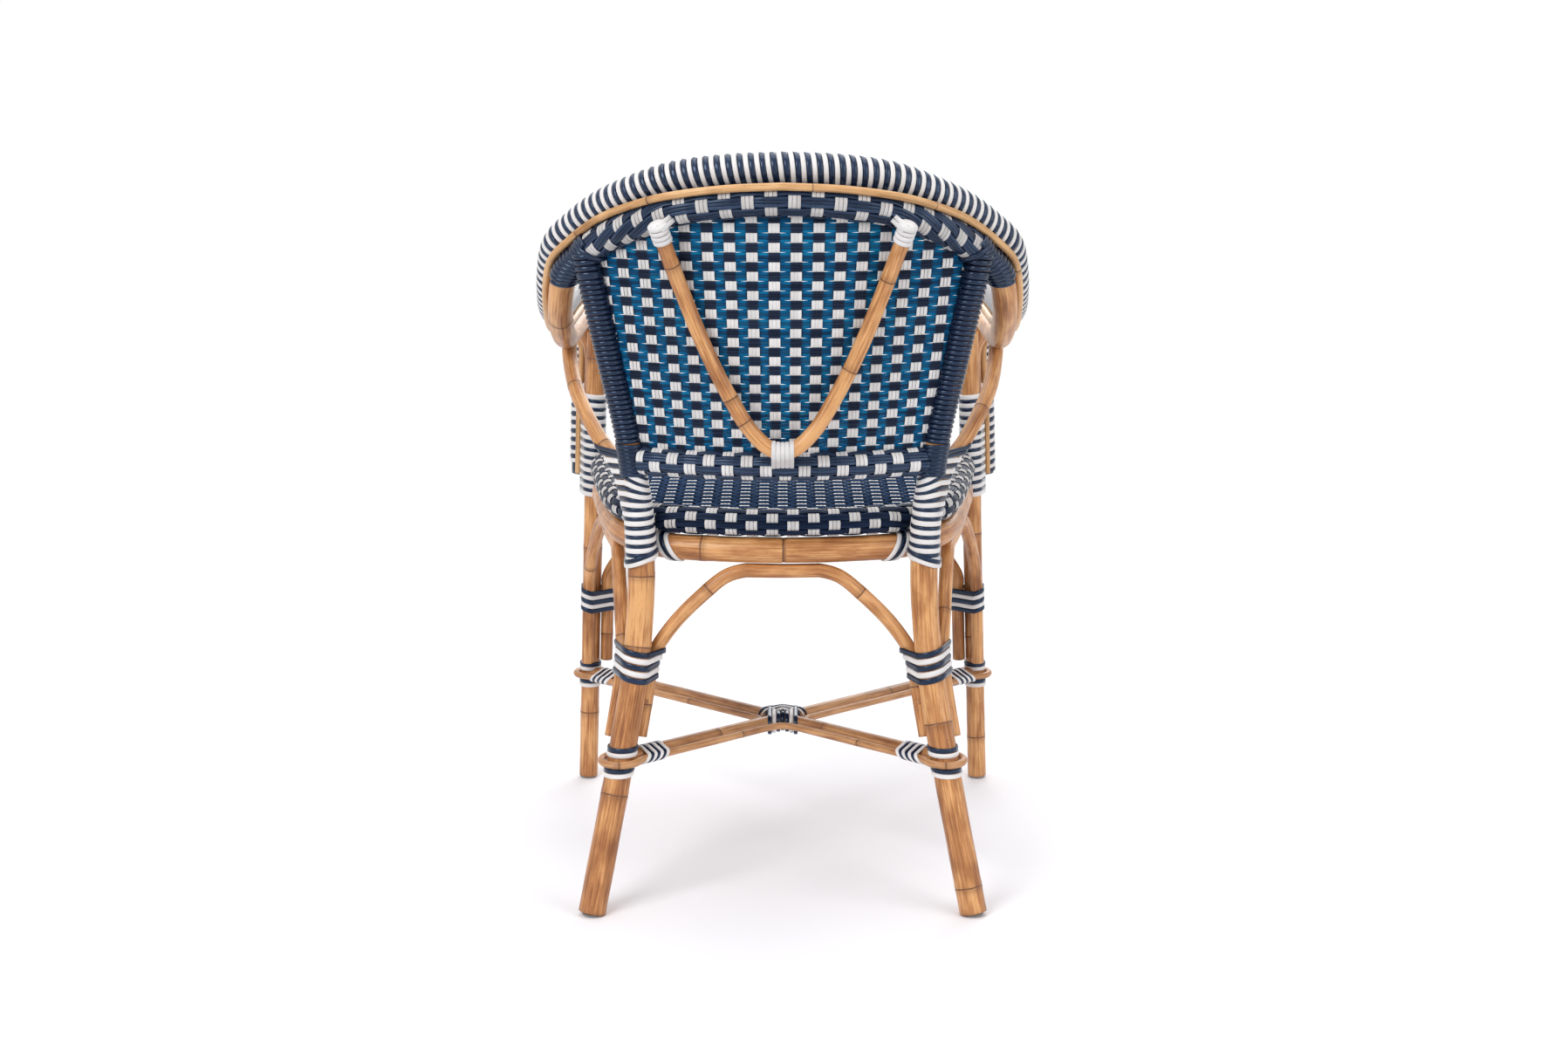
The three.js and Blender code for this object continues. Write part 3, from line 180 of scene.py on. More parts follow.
def bow_leg_at(height):
    apart = LEG_RADIUS + BOW_RADIUS + CLEARANCE + 2 * CHORD
    x, y, _ = leg.at_height(height)
    return vec(x + BOW_LEG_SHIFT, y - math.sqrt(apart ** 2 - BOW_LEG_SHIFT ** 2), height)


def bow_half_points():
    shares = [(0, 1, 1), (0.237, 0.983, 0.983), (0.439, 0.943, 0.939), (0.603, 0.883, 0.855),
              (0.742, 0.8, 0.758), (0.856, 0.721, 0.634), (0.935, 0.648, 0.517),
              (0.977, 0.52, 0.3), (0.992, 0.352, 0.128), (0.996, 0.185, 0.028), (1, 0, 0)]
    points = [vec(BOW_HALF * a, ELBOW_BACK + b * (BOW_BACK - ELBOW_BACK), ARM_HEIGHT + c * BOW_RISE)
              for a, b, c in shares]
    bend_end = ARM_HEIGHT - ARM_BEND
    bend_start = bow_leg_at(bend_end)[1] + ARM_BEND
    points.append(vec(BOW_HALF, (ELBOW_BACK + bend_start) / 2, ARM_HEIGHT))
    points.append(vec(BOW_HALF, bend_start, ARM_HEIGHT))
    for angle in (math.pi / 6, math.pi / 3):
        points.append(vec(BOW_HALF, bend_start - ARM_BEND * math.sin(angle),
                          ARM_HEIGHT - ARM_BEND * (1 - math.cos(angle))))
    points += [bow_leg_at(h) for h in (bend_end, (bend_end + BOW_FOOT) / 2, BOW_FOOT)]
    return points


bow_points = bow_half_points()
bow_half, bow = Route(bow_points), Route(both_halves(bow_points))
join_share = bow_half.nearest(post.at(1))
lashing_from = join_share - LASHING_BELOW / bow_half.length
lashing_to = join_share + LASHING_ABOVE / bow_half.length
cover_reach = around(BOW_RADIUS, COVER_SIDES) + COVER_THICKNESS


def rim_direction(share, tangent):
    shares = [(0, 0, -0.33, 0.95), (0.25, 0.1, -0.33, 0.93), (0.42, 0.34, -0.2, 0.92),
              (0.6, 0.42, 0, 0.91), (0.7, 0.4, 0, 0.92)]
    elbow, side, _, up = shares[-1]
    if share > elbow:
        return unit(np.cross(tangent, ASIDE) * up + ASIDE * side)
    lean = np.array([np.interp(share, [s[0] for s in shares], [s[i] for s in shares]) for i in (1, 2, 3)])
    return unit(lean - tangent * lean.dot(tangent))


def cover_room(share):
    back = 1 - smoothstep(share, lashing_to, lashing_to + join_share / 3)
    rising = FRONT_STRIPE_TOP + ROLL_RADIUS
    low = 1 - smoothstep(bow_half.at(share)[2], rising, rising + ARM_BEND)
    front = low if share > join_share else 0
    return max((cover_reach - BOW_RADIUS - 2 * CHORD) * back, (wrap_reach(BOW_RADIUS) - BOW_RADIUS) * front)


def beside_bow(side, share):
    """Point of the rim (side 0) or of the crease outside (1) or inside (-1) it."""
    centre, tangent = bow_half.at(share), bow_half.tangent(share)
    to_rim = rim_direction(share, tangent)
    room = cover_room(share)
    rim_distance = BOW_RADIUS + RIM_RADIUS + CLEARANCE + 2 * CHORD + room
    if side == 0:
        return centre + to_rim * rim_distance
    from_bow = BOW_RADIUS + STRIP_RADIUS + CLEARANCE + CHORD / 2 + room
    from_rim = RIM_RADIUS + STRIP_RADIUS + CLEARANCE + CHORD / 2
    cosine = (rim_distance ** 2 + from_bow ** 2 - from_rim ** 2) / (2 * rim_distance * from_bow)
    sideways = np.cross(to_rim, tangent) * side
    return centre + to_rim * from_bow * cosine + sideways * from_bow * math.sqrt(1 - cosine ** 2)


def beside_bow_points(side, start, foot):
    end, step, spacing = 1.0, 1 / 600, 12
    while beside_bow(side, end)[2] < foot:
        end -= step
    count = math.ceil((end - start) * bow_half.length / spacing)
    return [beside_bow(side, start + (end - start) * i / count) for i in range(count + 1)]


rim_points = beside_bow_points(0, 0, RIM_FOOT)
rim_half, rim = Route(rim_points), Route(both_halves(rim_points))


def pushed_off(point):
    """Point of a strip moved clear of the bow and the rim."""
    for _ in range(4):
        for route, radius in ((bow_half, BOW_RADIUS), (rim_half, RIM_RADIUS)):
            near = route.at(route.nearest(point))
            apart = radius + STRIP_RADIUS + CLEARANCE + CHORD / 2
            off = point - near
            if np.linalg.norm(off) < apart:
                point = near + unit(off) * apart
    return point


def strip_points(side, start, foot):
    points = beside_bow_points(side, start, foot)
    return points[:1] + [pushed_off(p) for p in points[1:]]


def lowered(point):
    """Point of the outer strip turned down round the bow, most at the middle of the back."""
    share = bow_half.nearest(point)
    centre, along = bow_half.at(share), bow_half.tangent(share)
    angle = STRIP_TURN * (1 - smoothstep(abs(point[0]), *STRIP_TURN_FADE))
    arm = point - centre
    turns = [centre + arm * math.cos(a) + np.cross(along, arm) * math.sin(a) for a in (angle, -angle)]
    return min(turns, key=lambda p: p[2])


outer_strip = Route(both_halves([lowered(p) for p in strip_points(1, 0, OUTER_STRIP_FOOT)]))
inner_strip = Route(strip_points(-1, lashing_to, INNER_STRIP_FOOT))


def in_plan(x, y):
    return unit(vec(x, y, 0))


def rail_points(height):
    at_post, at_leg = post.at_height(RAIL_HEIGHT), leg.at_height(RAIL_HEIGHT)

    def place(x, y):
        return vec(x * RAIL_HALF, y * (RAIL_BACK if y > 0 else RAIL_REACH), height)

    rear_seat = vec(at_post[0], at_post[1], height) + in_plan(-0.57, -0.82) * (
        wrap_reach(POST_RADIUS) + RAIL_RADIUS + CLEARANCE)
    front_seat = vec(at_leg[0], at_leg[1], height) + in_plan(-0.84, 0.54) * (
        wrap_reach(LEG_RADIUS) + RAIL_RADIUS + CLEARANCE)
    half = [place(0, 1), place(0.339, 0.959), rear_seat, place(0.788, 0.574), place(0.869, 0.256),
            place(0.924, -0.094), place(0.97, -0.423), place(1, -0.728), front_seat,
            place(0.805, -1), place(0.403, -1), place(0, -1)]
    return half + [reflected(p) for p in reversed(half[1:-1])]


rail = Route(rail_points(RAIL_HEIGHT), closed=True)
ROLL_HEIGHT = RAIL_HEIGHT + RAIL_RADIUS + ROLL_RADIUS + CLEARANCE + CHORD
roll = Route(rail_points(ROLL_HEIGHT), closed=True)


def strut_points():
    top = bow_half.at(bow_half.nearest(vec(BOW_HALF, ELBOW_BACK, ARM_HEIGHT)))
    side = in_plan(0.74, -0.67)
    low = post.at_height(STRUT_FOOT) + side * (POST_RADIUS - STRUT_RADIUS + 1.5)
    join = post.at_height(STRUT_JOIN) + side * (post_radius(STRUT_JOIN) + STRUT_RADIUS + 2 * CLEARANCE)
    shares = [(0.36, 0.16, 0.24), (0.78, 0.54, 0.56), (0.96, 0.88, 0.8)]
    return [low, join] + [join + (top - join) * s for s in shares] + [top]


strut = Route(strut_points())
ARCH_TOP = RAIL_HEIGHT - RAIL_RADIUS - ARCH_RADIUS - CLEARANCE - 2 * CHORD
REAR_ARCH_FOOT = REAR_TIE_HEIGHT + BAND_HEIGHT / 2 + 3
FRONT_ARCH_FOOT = FRONT_TIE_HEIGHT + BAND_HEIGHT / 2 + 3


def beside_leg(route, radius, direction, height):
    side = in_plan(*direction)
    lean = side.dot(route.tangent(route.share_at_height(height)))
    apart = radius + ARCH_RADIUS + CLEARANCE + 2 * CHORD
    return route.at_height(height) + side * apart / math.sqrt(1 - lean ** 2)


def rail_place(test):
    for point in rail.at(np.linspace(0, 1, 1001)):
        if test(point):
            return vec(point[0], point[1], ARCH_TOP)
    return vec(0, 0, ARCH_TOP)


def arch_half(route, radius, direction, foot, flat, middle):
    up = [beside_leg(route, radius, direction, foot + (SHOULDER_HEIGHT - foot) * s)
          for s in (0, 0.5, 0.85, 1)]
    shoulder = up[-1]
    bend = [shoulder + (flat - shoulder) * (a, a, b) for a, b in ((0.22, 0.37), (0.56, 0.74), (0.8, 0.94))]
    return up + bend + [flat, flat + (middle - flat) * 0.15]


rear_middle, front_middle = vec(0, RAIL_BACK, ARCH_TOP), vec(0, -RAIL_REACH, ARCH_TOP)
rear_half = arch_half(post, POST_RADIUS, (-0.64, -0.77), REAR_ARCH_FOOT,
                      rail_place(lambda p: p[0] > REAR_FLAT), rear_middle)
front_half = arch_half(leg, LEG_RADIUS, (-1, 0.2), FRONT_ARCH_FOOT,
                       rail_place(lambda p: p[1] < 0 and p[0] < FRONT_FLAT), front_middle)
side_middle = rail_place(lambda p: p[0] > 0 and p[1] < (SIDE_FLAT_REAR + SIDE_FLAT_FRONT) / 2)
side_rear_half = arch_half(post, POST_RADIUS, (0.62, -0.78), REAR_ARCH_FOOT,
                           rail_place(lambda p: p[0] > 0 and p[1] < SIDE_FLAT_REAR), side_middle)
side_front_half = arch_half(leg, LEG_RADIUS, (0.1, 1), FRONT_ARCH_FOOT,
                            rail_place(lambda p: p[0] > 0 and p[1] < SIDE_FLAT_FRONT), side_middle)
rear_arch = Route(rear_half + [rear_middle] + [reflected(p) for p in reversed(rear_half)])
front_arch = Route(front_half + [front_middle] + [reflected(p) for p in reversed(front_half)])
side_arch = Route(side_rear_half + [side_middle] + list(reversed(side_front_half)))

rear_tie, front_tie = post.at_height(REAR_TIE_HEIGHT), leg.at_height(FRONT_TIE_HEIGHT)
stretcher_points = [rear_tie, (rear_tie + reflected(front_tie)) / 2, reflected(front_tie)]
stretcher = Route(stretcher_points)
cross_point = rear_tie + (reflected(front_tie) - rear_tie) * rear_tie[0] / (rear_tie[0] + front_tie[0])
CANE_OFFSET = STRETCHER_RADIUS + CANE_RADIUS + CLEARANCE + CHORD
LASHING_START, LASHING_LENGTH = 24, 34


def arm_point(tie, distance, shift):
    along = unit(cross_point - tie)
    return tie + along * distance + unit(np.cross(UP, along)) * shift


def corner_cane(first, second):
    one, other = first - cross_point, second - cross_point
    half = math.acos(unit(one).dot(unit(other))) / 2
    start = LASHING_START + LASHING_LENGTH / 2

    def run(tie, shift):
        span = np.linalg.norm(cross_point - tie) - CANE_BEND / math.tan(half)
        return [arm_point(tie, d, shift) for d in (start, (start + span) / 2, span)]

    ahead, back = run(first, CANE_OFFSET), run(second, -CANE_OFFSET)
    corner = np.linalg.norm(cross_point - first) - CANE_OFFSET / math.tan(half)
    meeting = arm_point(first, corner, CANE_OFFSET)
    bend = [(1 - t) ** 2 * ahead[-1] + 2 * t * (1 - t) * meeting + t * t * back[-1]
            for t in (0.25, 0.5, 0.75)]
    return Route(ahead + bend + list(reversed(back)))


bar_end = post.at_height(BAR_HEIGHT)
crossbar = Route([vec(bar_end[0] * a, bar_end[1] + (BAR_BACK - bar_end[1]) * b, BAR_HEIGHT)
                  for a, b in ((-1, 0), (-0.5, 0.76), (0, 1), (0.5, 0.76), (1, 0))])


def panel_point(across, up):
    low = crossbar.at((across + 1) / 2)
    high = bow.at(0.5 + across * join_share / 2)
    point = low + (high - low) * up
    point[1] += (BOW_BACK - BAR_BACK) * 0.04 * math.sin(math.pi * up) * (1 - across ** 2)
    return point


def behind_panel(x, height, least):
    depth = least
    for up in np.linspace(0, 1, 21):
        across = min(1, max(-1, x / max(panel_point(1, up)[0], BRACE_RADIUS)))
        point = panel_point(across, up)
        if abs(point[2] - height) < 2 * BRACE_RADIUS:
            depth = max(depth, point[1])
    return max(least, depth + 2.5 + wrap_reach(BRACE_RADIUS) + CLEARANCE)


def brace_points():
    places = bow_half.at(np.linspace(0, 0.5, 401))
    top = places[np.argmax(places[:, 0] >= BRACE_HALF)] + unit(vec(0, 0.97, -0.24)) * (
        wrap_reach(BRACE_RADIUS) + cover_reach + CLEARANCE)
    foot = vec(0, BAR_BACK, BAR_HEIGHT) + unit(vec(0, 0.72, 0.69)) * (
        BAR_RADIUS + 5 + wrap_reach(BRACE_RADIUS) + CLEARANCE)
    half = [top]
    for a, b in ((0.84, 0.26), (0.635, 0.54), (0.44, 0.755), (0.26, 0.91), (0.1, 0.988), (0, 1)):
        height = top[2] + (foot[2] - top[2]) * b
        half.append(vec(BRACE_HALF * a, behind_panel(BRACE_HALF * a, height, foot[1]), height))
    return half


brace_half = brace_points()
brace = Route([reflected(p) for p in brace_half[:-1]] + list(reversed(brace_half)))

glide_low, glide_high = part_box("rear_glide_left")
SHIFT = (glide_low[1] + glide_high[1]) / 2 / MM - post.at_height(GLIDE_HEIGHT)[1]


# Meshes

def placed(name, data):
    """A new object in the scene."""
    obj = bpy.data.objects.new(name, data)
    bpy.context.scene.collection.objects.link(obj)
    return obj


class Piece:
    """A mesh gathered from swept rings, with the coordinates its material needs."""

    def __init__(self, name):
        self.name, self.count = name, 0
        self.verts, self.quads, self.caps = [], [], []
        self.grain, self.tone, self.mark = [], [], []

    def sweep(self, rings, run, grain, tone=None, mark=0.0, closed=False):
        """Skins rings of shape (n, k, 3); run is the way along, grain the two coordinates across."""
        n, k = rings.shape[:2]
        a = np.arange(n if closed else n - 1)[:, None] * k + np.arange(k)[None, :]
        b = np.arange(n if closed else n - 1)[:, None] * k + (np.arange(k)[None, :] + 1) % k
        total = n * k
        quads = np.stack([a, b, (b + k) % total, (a + k) % total], axis=-1).reshape(-1, 4)
        self.quads.append(quads + self.count)
        if not closed:
            self.caps.append([self.count + i for i in reversed(range(k))])
            self.caps.append([self.count + total - k + i for i in range(k)])
        along = np.broadcast_to(np.asarray(run, float)[:, None, None], (n, k, 1))
        across = np.broadcast_to(np.asarray(grain, float), (n, k, 2))
        self.grain.append(np.concatenate([across, along], axis=-1).reshape(-1, 3))
        tones = np.asarray(rng.random() if tone is None else tone, float)
        self.tone.append(np.broadcast_to(tones[:, None] if tones.ndim else tones, (n, k)).reshape(-1))
        marks = np.asarray(mark, float)
        self.mark.append(np.broadcast_to(marks[:, None] if marks.ndim == 1 else marks, (n, k)).reshape(-1))
        self.verts.append(rings.reshape(-1, 3))
        self.count += total

    def build(self, material, slot, nodes, mirror=False):
        verts = np.vstack(self.verts) + (0, SHIFT, 0)
        quads = np.vstack(self.quads)
        caps = self.caps
        if mirror:
            verts = verts * (-1, 1, 1)
            quads = quads[:, ::-1]
            caps = [cap[::-1] for cap in caps]
        mesh = bpy.data.meshes.new(self.name)
        mesh.from_pydata((verts * MM).tolist(), [], quads.tolist() + caps)
        mesh.attributes.new("grain", "FLOAT_VECTOR", "POINT").data.foreach_set(
            "vector", (np.vstack(self.grain) * MM).ravel().astype(np.float32))
        for name, values in (("tone", self.tone), ("mark", self.mark)):
            mesh.attributes.new(name, "FLOAT", "POINT").data.foreach_set(
                "value", np.concatenate(values).astype(np.float32))
        smooth = np.ones(len(mesh.polygons), bool)
        if caps:
            smooth[-len(caps):] = False
        mesh.polygons.foreach_set("use_smooth", smooth)
        mesh.materials.append(material)
        mesh.update()
        obj = placed(self.name, mesh)
        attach(obj, "root")
        if nodes:
            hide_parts(*nodes)
        return obj


def frames_along(points, tangents, closed=False):
    """A normal to each tangent, turning as little as it can."""
    normals = np.empty_like(points)
    start = np.cross(tangents[0], UP)
    if np.linalg.norm(start) < 0.1:
        start = ASIDE - tangents[0] * ASIDE.dot(tangents[0])
    normals[0] = unit(start)
    for i in range(1, len(points)):
        step = normals[i - 1] - tangents[i] * normals[i - 1].dot(tangents[i])
        normals[i] = step / np.linalg.norm(step)
    if closed:
        other = np.cross(tangents[-1], normals[-1])
        twist = math.atan2(normals[0].dot(other), normals[0].dot(normals[-1]))
        angles = twist * np.arange(len(points)) / len(points)
        others = np.cross(tangents, normals)
        normals = normals * np.cos(angles)[:, None] + others * np.sin(angles)[:, None]
    return normals


NODE_STEPS = np.array([-9, -6, -4, -2.6, -1.7, -1.0, -0.5, 0, 0.5, 1.0, 1.7, 2.6, 4, 6, 9])
NODE_SWELL, NODE_GROOVE, SEAM_GROOVE = 0.035, 0.035, 0.05
GRAIN_SPAN, RUN_SPAN = 4000, 5000


def pole(piece, route, radius, low=0.0, high=1.0, nodes=(), seams=(), sides=28, step=4.0):
    """A round pole along a route; nodes are shares with a swollen, grooved growth ring."""
    length = route.length
    count = max(4, int((high - low) * length / step))
    shares = list(np.linspace(low, high, count + 1))
    for share in list(nodes) + list(seams):
        shares += [s for s in share + NODE_STEPS / length if low < s < high]
    shares = np.unique(np.round(shares, 7))
    if route.closed:
        shares = shares[:-1]
    centres, tangents = route.at(shares), route.tangent(shares)
    normals = frames_along(centres, tangents, route.closed)
    others = np.cross(tangents, normals)
    if callable(radius):
        base = np.array([radius(c[2]) for c in centres])
    else:
        base = np.full(len(shares), float(radius))
    phase = rng.random(3) * 2 * math.pi
    run = shares * length
    base = base * (1 + 0.008 * np.sin(run / 37 + phase[0]) + 0.006 * np.sin(run / 13 + phase[1]))
    mark = np.zeros(len(shares))
    for share in nodes:
        d = run - share * length
        base = base * (1 + NODE_SWELL * np.exp(-(d / 4.5) ** 2) - NODE_GROOVE * np.exp(-(d / 0.8) ** 2))
        mark = np.maximum(mark, np.exp(-(d / 1.0) ** 2))
        mark = np.maximum(mark, 0.28 * np.exp(-((d + 2.5) / 4) ** 2))
    for share in seams:
        d = run - share * length
        base = base * (1 - SEAM_GROOVE * np.exp(-(d / 0.5) ** 2))
        mark = np.maximum(mark, np.exp(-(d / 0.55) ** 2))
    tones = rng.random(len(nodes) + 1)
    tone = tones[np.searchsorted(np.sort(np.array(nodes, float)), shares)]
    angle = np.linspace(0, 2 * math.pi, sides, endpoint=False)
    ring = (normals[:, None] * np.cos(angle)[None, :, None] + others[:, None] * np.sin(angle)[None, :, None])
    rings = centres[:, None] + ring * base[:, None, None]
    grain = np.stack([np.cos(angle), np.sin(angle)], axis=-1)[None] * base.mean() + rng.random(2) * GRAIN_SPAN
    piece.sweep(rings, run + rng.random() * RUN_SPAN, grain, tone=tone, mark=mark, closed=route.closed)


# Sections of reed: places across its width, and above its back in shares of its thickness
FLAT_REED = (np.array([-0.5, -0.485, -0.42, -0.28, 0, 0.28, 0.42, 0.485, 0.5]),
             np.array([0, 0.42, 0.78, 0.96, 1.0, 0.96, 0.78, 0.42, 0]))
ROUND_REED = (np.array([-0.5, -0.45, -0.35, -0.2, 0, 0.2, 0.35, 0.45, 0.5]),
              np.array([0, 0.36, 0.66, 0.92, 1.0, 0.92, 0.66, 0.36, 0]))
ROUND_STRAND = (np.array([-0.5, -0.42, -0.2, 0.2, 0.42, 0.5, 0.3, -0.3]),
                np.array([0, 0.38, 0.5, 0.5, 0.38, 0, -0.45, -0.45]))
FLAT_STRAND = (np.array([-0.5, -0.46, -0.3, 0.3, 0.46, 0.5, 0.3, -0.3]),
               np.array([0, 0.34, 0.5, 0.5, 0.34, 0, -0.45, -0.45]))


def reed(piece, path, normals, width, thickness, closed=False, mark=0.0, section=FLAT_REED):
    """A flat reed along a path, its back on the path and its crown towards the normals."""
    if len(path) < 3:
        return
    if closed:
        tangents = unit(np.roll(path, -1, axis=0) - np.roll(path, 1, axis=0))
    else:
        tangents = unit(np.gradient(path, axis=0))
    side = unit(np.cross(tangents, normals))
    out = unit(np.cross(side, tangents))
    across, above = section
    rings = (path[:, None] + side[:, None] * across[None, :, None] * width
             + out[:, None] * above[None, :, None] * thickness)
    run = np.concatenate([[0], np.cumsum(np.linalg.norm(np.diff(path, axis=0), axis=1))])
    grain = np.stack([across * width, above * 0], axis=-1)[None] + rng.random(2) * GRAIN_SPAN
    piece.sweep(rings[:, ::-1], run + rng.random() * RUN_SPAN, grain[:, ::-1], mark=mark, closed=closed)


def turned(piece, centre, axis, outline, sides=28, tone=0.5):
    """A form turned about an axis; the outline gives radius and height along it."""
    axis = unit(axis)
    across = unit(np.cross(axis, ASIDE if abs(axis[0]) < 0.9 else UP))
    other = np.cross(axis, across)
    angle = np.linspace(0, 2 * math.pi, sides, endpoint=False)
    way = np.cos(angle)[:, None] * across + np.sin(angle)[:, None] * other
    rings = np.stack([centre + axis * h + way * r for r, h in outline])
    grain = np.stack([np.cos(angle), np.sin(angle)], axis=-1)[None] * 8
    piece.sweep(rings, np.array([h for _, h in outline], float), grain, tone=tone)


# Wound reed

LOOP_POINTS, REED_ROOM, BAND_THICKNESS = 44, 0.3, 2.1

def hull_loop(circles, count=LOOP_POINTS):
    """Outline round a bundle of circles: points and outward directions, evenly spaced."""
    angle = np.linspace(0, 2 * math.pi, 361)
    ways = np.stack([np.cos(angle), np.sin(angle)], axis=-1)
    circles = np.asarray(circles, float)
    reach = ways @ circles[:, :2].T + circles[:, 2]
    best = np.argmax(reach, axis=1)
    points = circles[best, :2] + ways * circles[best, 2:]
    steps = np.linalg.norm(np.diff(points, axis=0), axis=1)
    run = np.concatenate([[0], np.cumsum(steps)])
    places = np.linspace(0, run[-1], count, endpoint=False)
    loop = np.stack([np.interp(places, run, points[:, i]) for i in (0, 1)], axis=-1)
    out = np.stack([np.interp(places, run, ways[:, i]) for i in (0, 1)], axis=-1)
    return loop, out


def level_circle(route, radius, height):
    """Circle round an upright pole at a height, with room for the reed."""
    return (*route.at_height(height)[:2], (radius(height) if callable(radius) else radius) + REED_ROOM)


def upright_loop(curves, radii, height, count=LOOP_POINTS):
    """Level outline round upright poles."""
    circles = [level_circle(route, radius, height) for route, radius in zip(curves, radii)]
    loop, out = hull_loop(circles, count)
    points = np.column_stack([loop, np.full(count, float(height))])
    return points, np.column_stack([out, np.zeros(count)]), UP


def pole_loop(route, share, radius, beside=(), count=36):
    """Outline square to a route, round its pole and the thin ones beside it."""
    centre, along = route.at(share), route.tangent(share)
    across = np.cross(UP, along)
    across = unit(across) if np.linalg.norm(across) > 0.1 else unit(np.cross(ASIDE, along))
    other = np.cross(along, across)
    circles = [(shift, 0, r + REED_ROOM) for shift, r in ((0, radius), *beside)]
    loop, out = hull_loop(circles, count)
    points = centre + loop[:, :1] * across + loop[:, 1:] * other
    return points, out[:, :1] * across + out[:, 1:] * other, along


def tilted(loop, tilt, way):
    """A loop slid along its axis by how far each of its places faces a way."""
    points, out, along = loop
    return points + along * (out @ unit(way))[:, None] * tilt, out, along


def rising_loop(curves, radii, height, rise):
    """A turn round upright poles that rises outwards; the poles after the first are met that much higher."""
    levels = [height - rise / 2] + [height + rise] * (len(curves) - 1)
    loop, out = hull_loop([level_circle(*each) for each in zip(curves, radii, levels)])
    points = np.column_stack([loop, height + out[:, 0] * rise])
    return points, np.column_stack([out, np.zeros(LOOP_POINTS)]), UP


def ring_of(piece, loop, width, thickness=BAND_THICKNESS):
    """One closed turn of reed."""
    reed(piece, loop[0], loop[1], width, thickness, closed=True)


def rings_of(piece_of, loops, colours, width, thickness=BAND_THICKNESS):
    """Closed turns of reed, one for each loop, in the named colours in turn."""
    for i, loop in enumerate(loops):
        jitter = 1 + 0.03 * (rng.random() - 0.5)
        ring_of(piece_of[colours[i % len(colours)]], loop, width * jitter, thickness * jitter)


def outset(loop, room):
    """A loop moved off what it goes round."""
    points, out, along = loop
    return points + out * room, out, along


def helix_of(piece, loops, width, thickness, section=FLAT_REED):
    """One reed wound on through evenly spaced loops, each loop one turn on."""
    points = np.stack([loop[0] for loop in loops])
    out = np.stack([loop[1] for loop in loops])
    count = points.shape[1]
    blend = (np.arange(count) / count)[None, :, None]
    path = (points[:-1] * (1 - blend) + points[1:] * blend).reshape(-1, 3)
    ways = unit(out[:-1] * (1 - blend) + out[1:] * blend).reshape(-1, 3)
    marks = np.repeat(rng.random(len(loops) - 1), count)
    reed(piece, path, ways, width, thickness, mark=marks * 0.25, section=section)


# Materials

def new_node(tree, kind):
    return tree.nodes.new(f"ShaderNode{kind}")


def feed(tree, value, socket):
    """Links an output to a socket, or sets a number or a colour on it."""
    if hasattr(value, "is_linked"):
        tree.links.new(value, socket)
    else:
        socket.default_value = (*value, 1) if isinstance(value, tuple) else value


def attribute(tree, name, output="Fac"):
    node = new_node(tree, "Attribute")
    node.attribute_name = name
    return node.outputs[output]


def noise(tree, vector, scale, detail, rough):
    """Noise drawn out by a scale for each axis."""
    mapping, node = new_node(tree, "Mapping"), new_node(tree, "TexNoise")
    mapping.inputs["Scale"].default_value = scale
    tree.links.new(vector, mapping.inputs["Vector"])
    for name, value in (("Scale", 1.0), ("Detail", detail), ("Roughness", rough)):
        node.inputs[name].default_value = value
    tree.links.new(mapping.outputs["Vector"], node.inputs["Vector"])
    return node.outputs["Fac"]


def ramp(tree, value, stops):
    node = new_node(tree, "ValToRGB")
    ends = node.color_ramp.elements
    while len(ends) < len(stops):
        ends.new(0.5)
    for end, (place, colour) in zip(ends, stops):
        end.position = place
        end.color = (*colour, 1)
    tree.links.new(value, node.inputs["Fac"])
    return node.outputs["Color"]


def mixed(tree, factor, one, other):
    node = new_node(tree, "Mix")
    node.data_type = "RGBA"
    for value, place in ((factor, "Factor"), (one, 6), (other, 7)):
        feed(tree, value, node.inputs[place])
    return node.outputs[2]


def maths(tree, operation, one, other, clamp=False):
    node = new_node(tree, "Math")
    node.operation, node.use_clamp = operation, clamp
    for value, place in ((one, 0), (other, 1)):
        feed(tree, value, node.inputs[place])
    return node.outputs[0]


def summed(tree, *terms):
    """Sum of values times their weights; a term's third figure comes off its value first."""
    total = None
    for value, weight, *middle in terms:
        if middle:
            value = maths(tree, "SUBTRACT", value, middle[0])
        part = maths(tree, "MULTIPLY", value, weight)
        total = part if total is None else maths(tree, "ADD", total, part)
    return total


def bumped(tree, shader, height, strength, distance):
    node = new_node(tree, "Bump")
    node.inputs["Strength"].default_value = strength
    node.inputs["Distance"].default_value = distance
    tree.links.new(height, node.inputs["Height"])
    tree.links.new(node.outputs["Normal"], shader.inputs["Normal"])


def new_material(name):
    material = bpy.data.materials.new(name)
    material.use_nodes = True
    tree = material.node_tree
    return material, tree, tree.nodes["Principled BSDF"]


def varnished(tree, shader, colour, least_rough, mottle, shine, coat, tint=(1, 1, 1)):
    """Sets a shader's colour, its roughness from a mottle, its shine and its coat of varnish."""
    rough = maths(tree, "ADD", least_rough, maths(tree, "MULTIPLY", mottle, 0.22))
    for name, value in (("Base Color", colour), ("Roughness", rough), ("Specular IOR Level", shine),
                        ("Specular Tint", tint), ("Coat Weight", coat), ("Coat Roughness", 0.12)):
        feed(tree, value, shader.inputs[name])


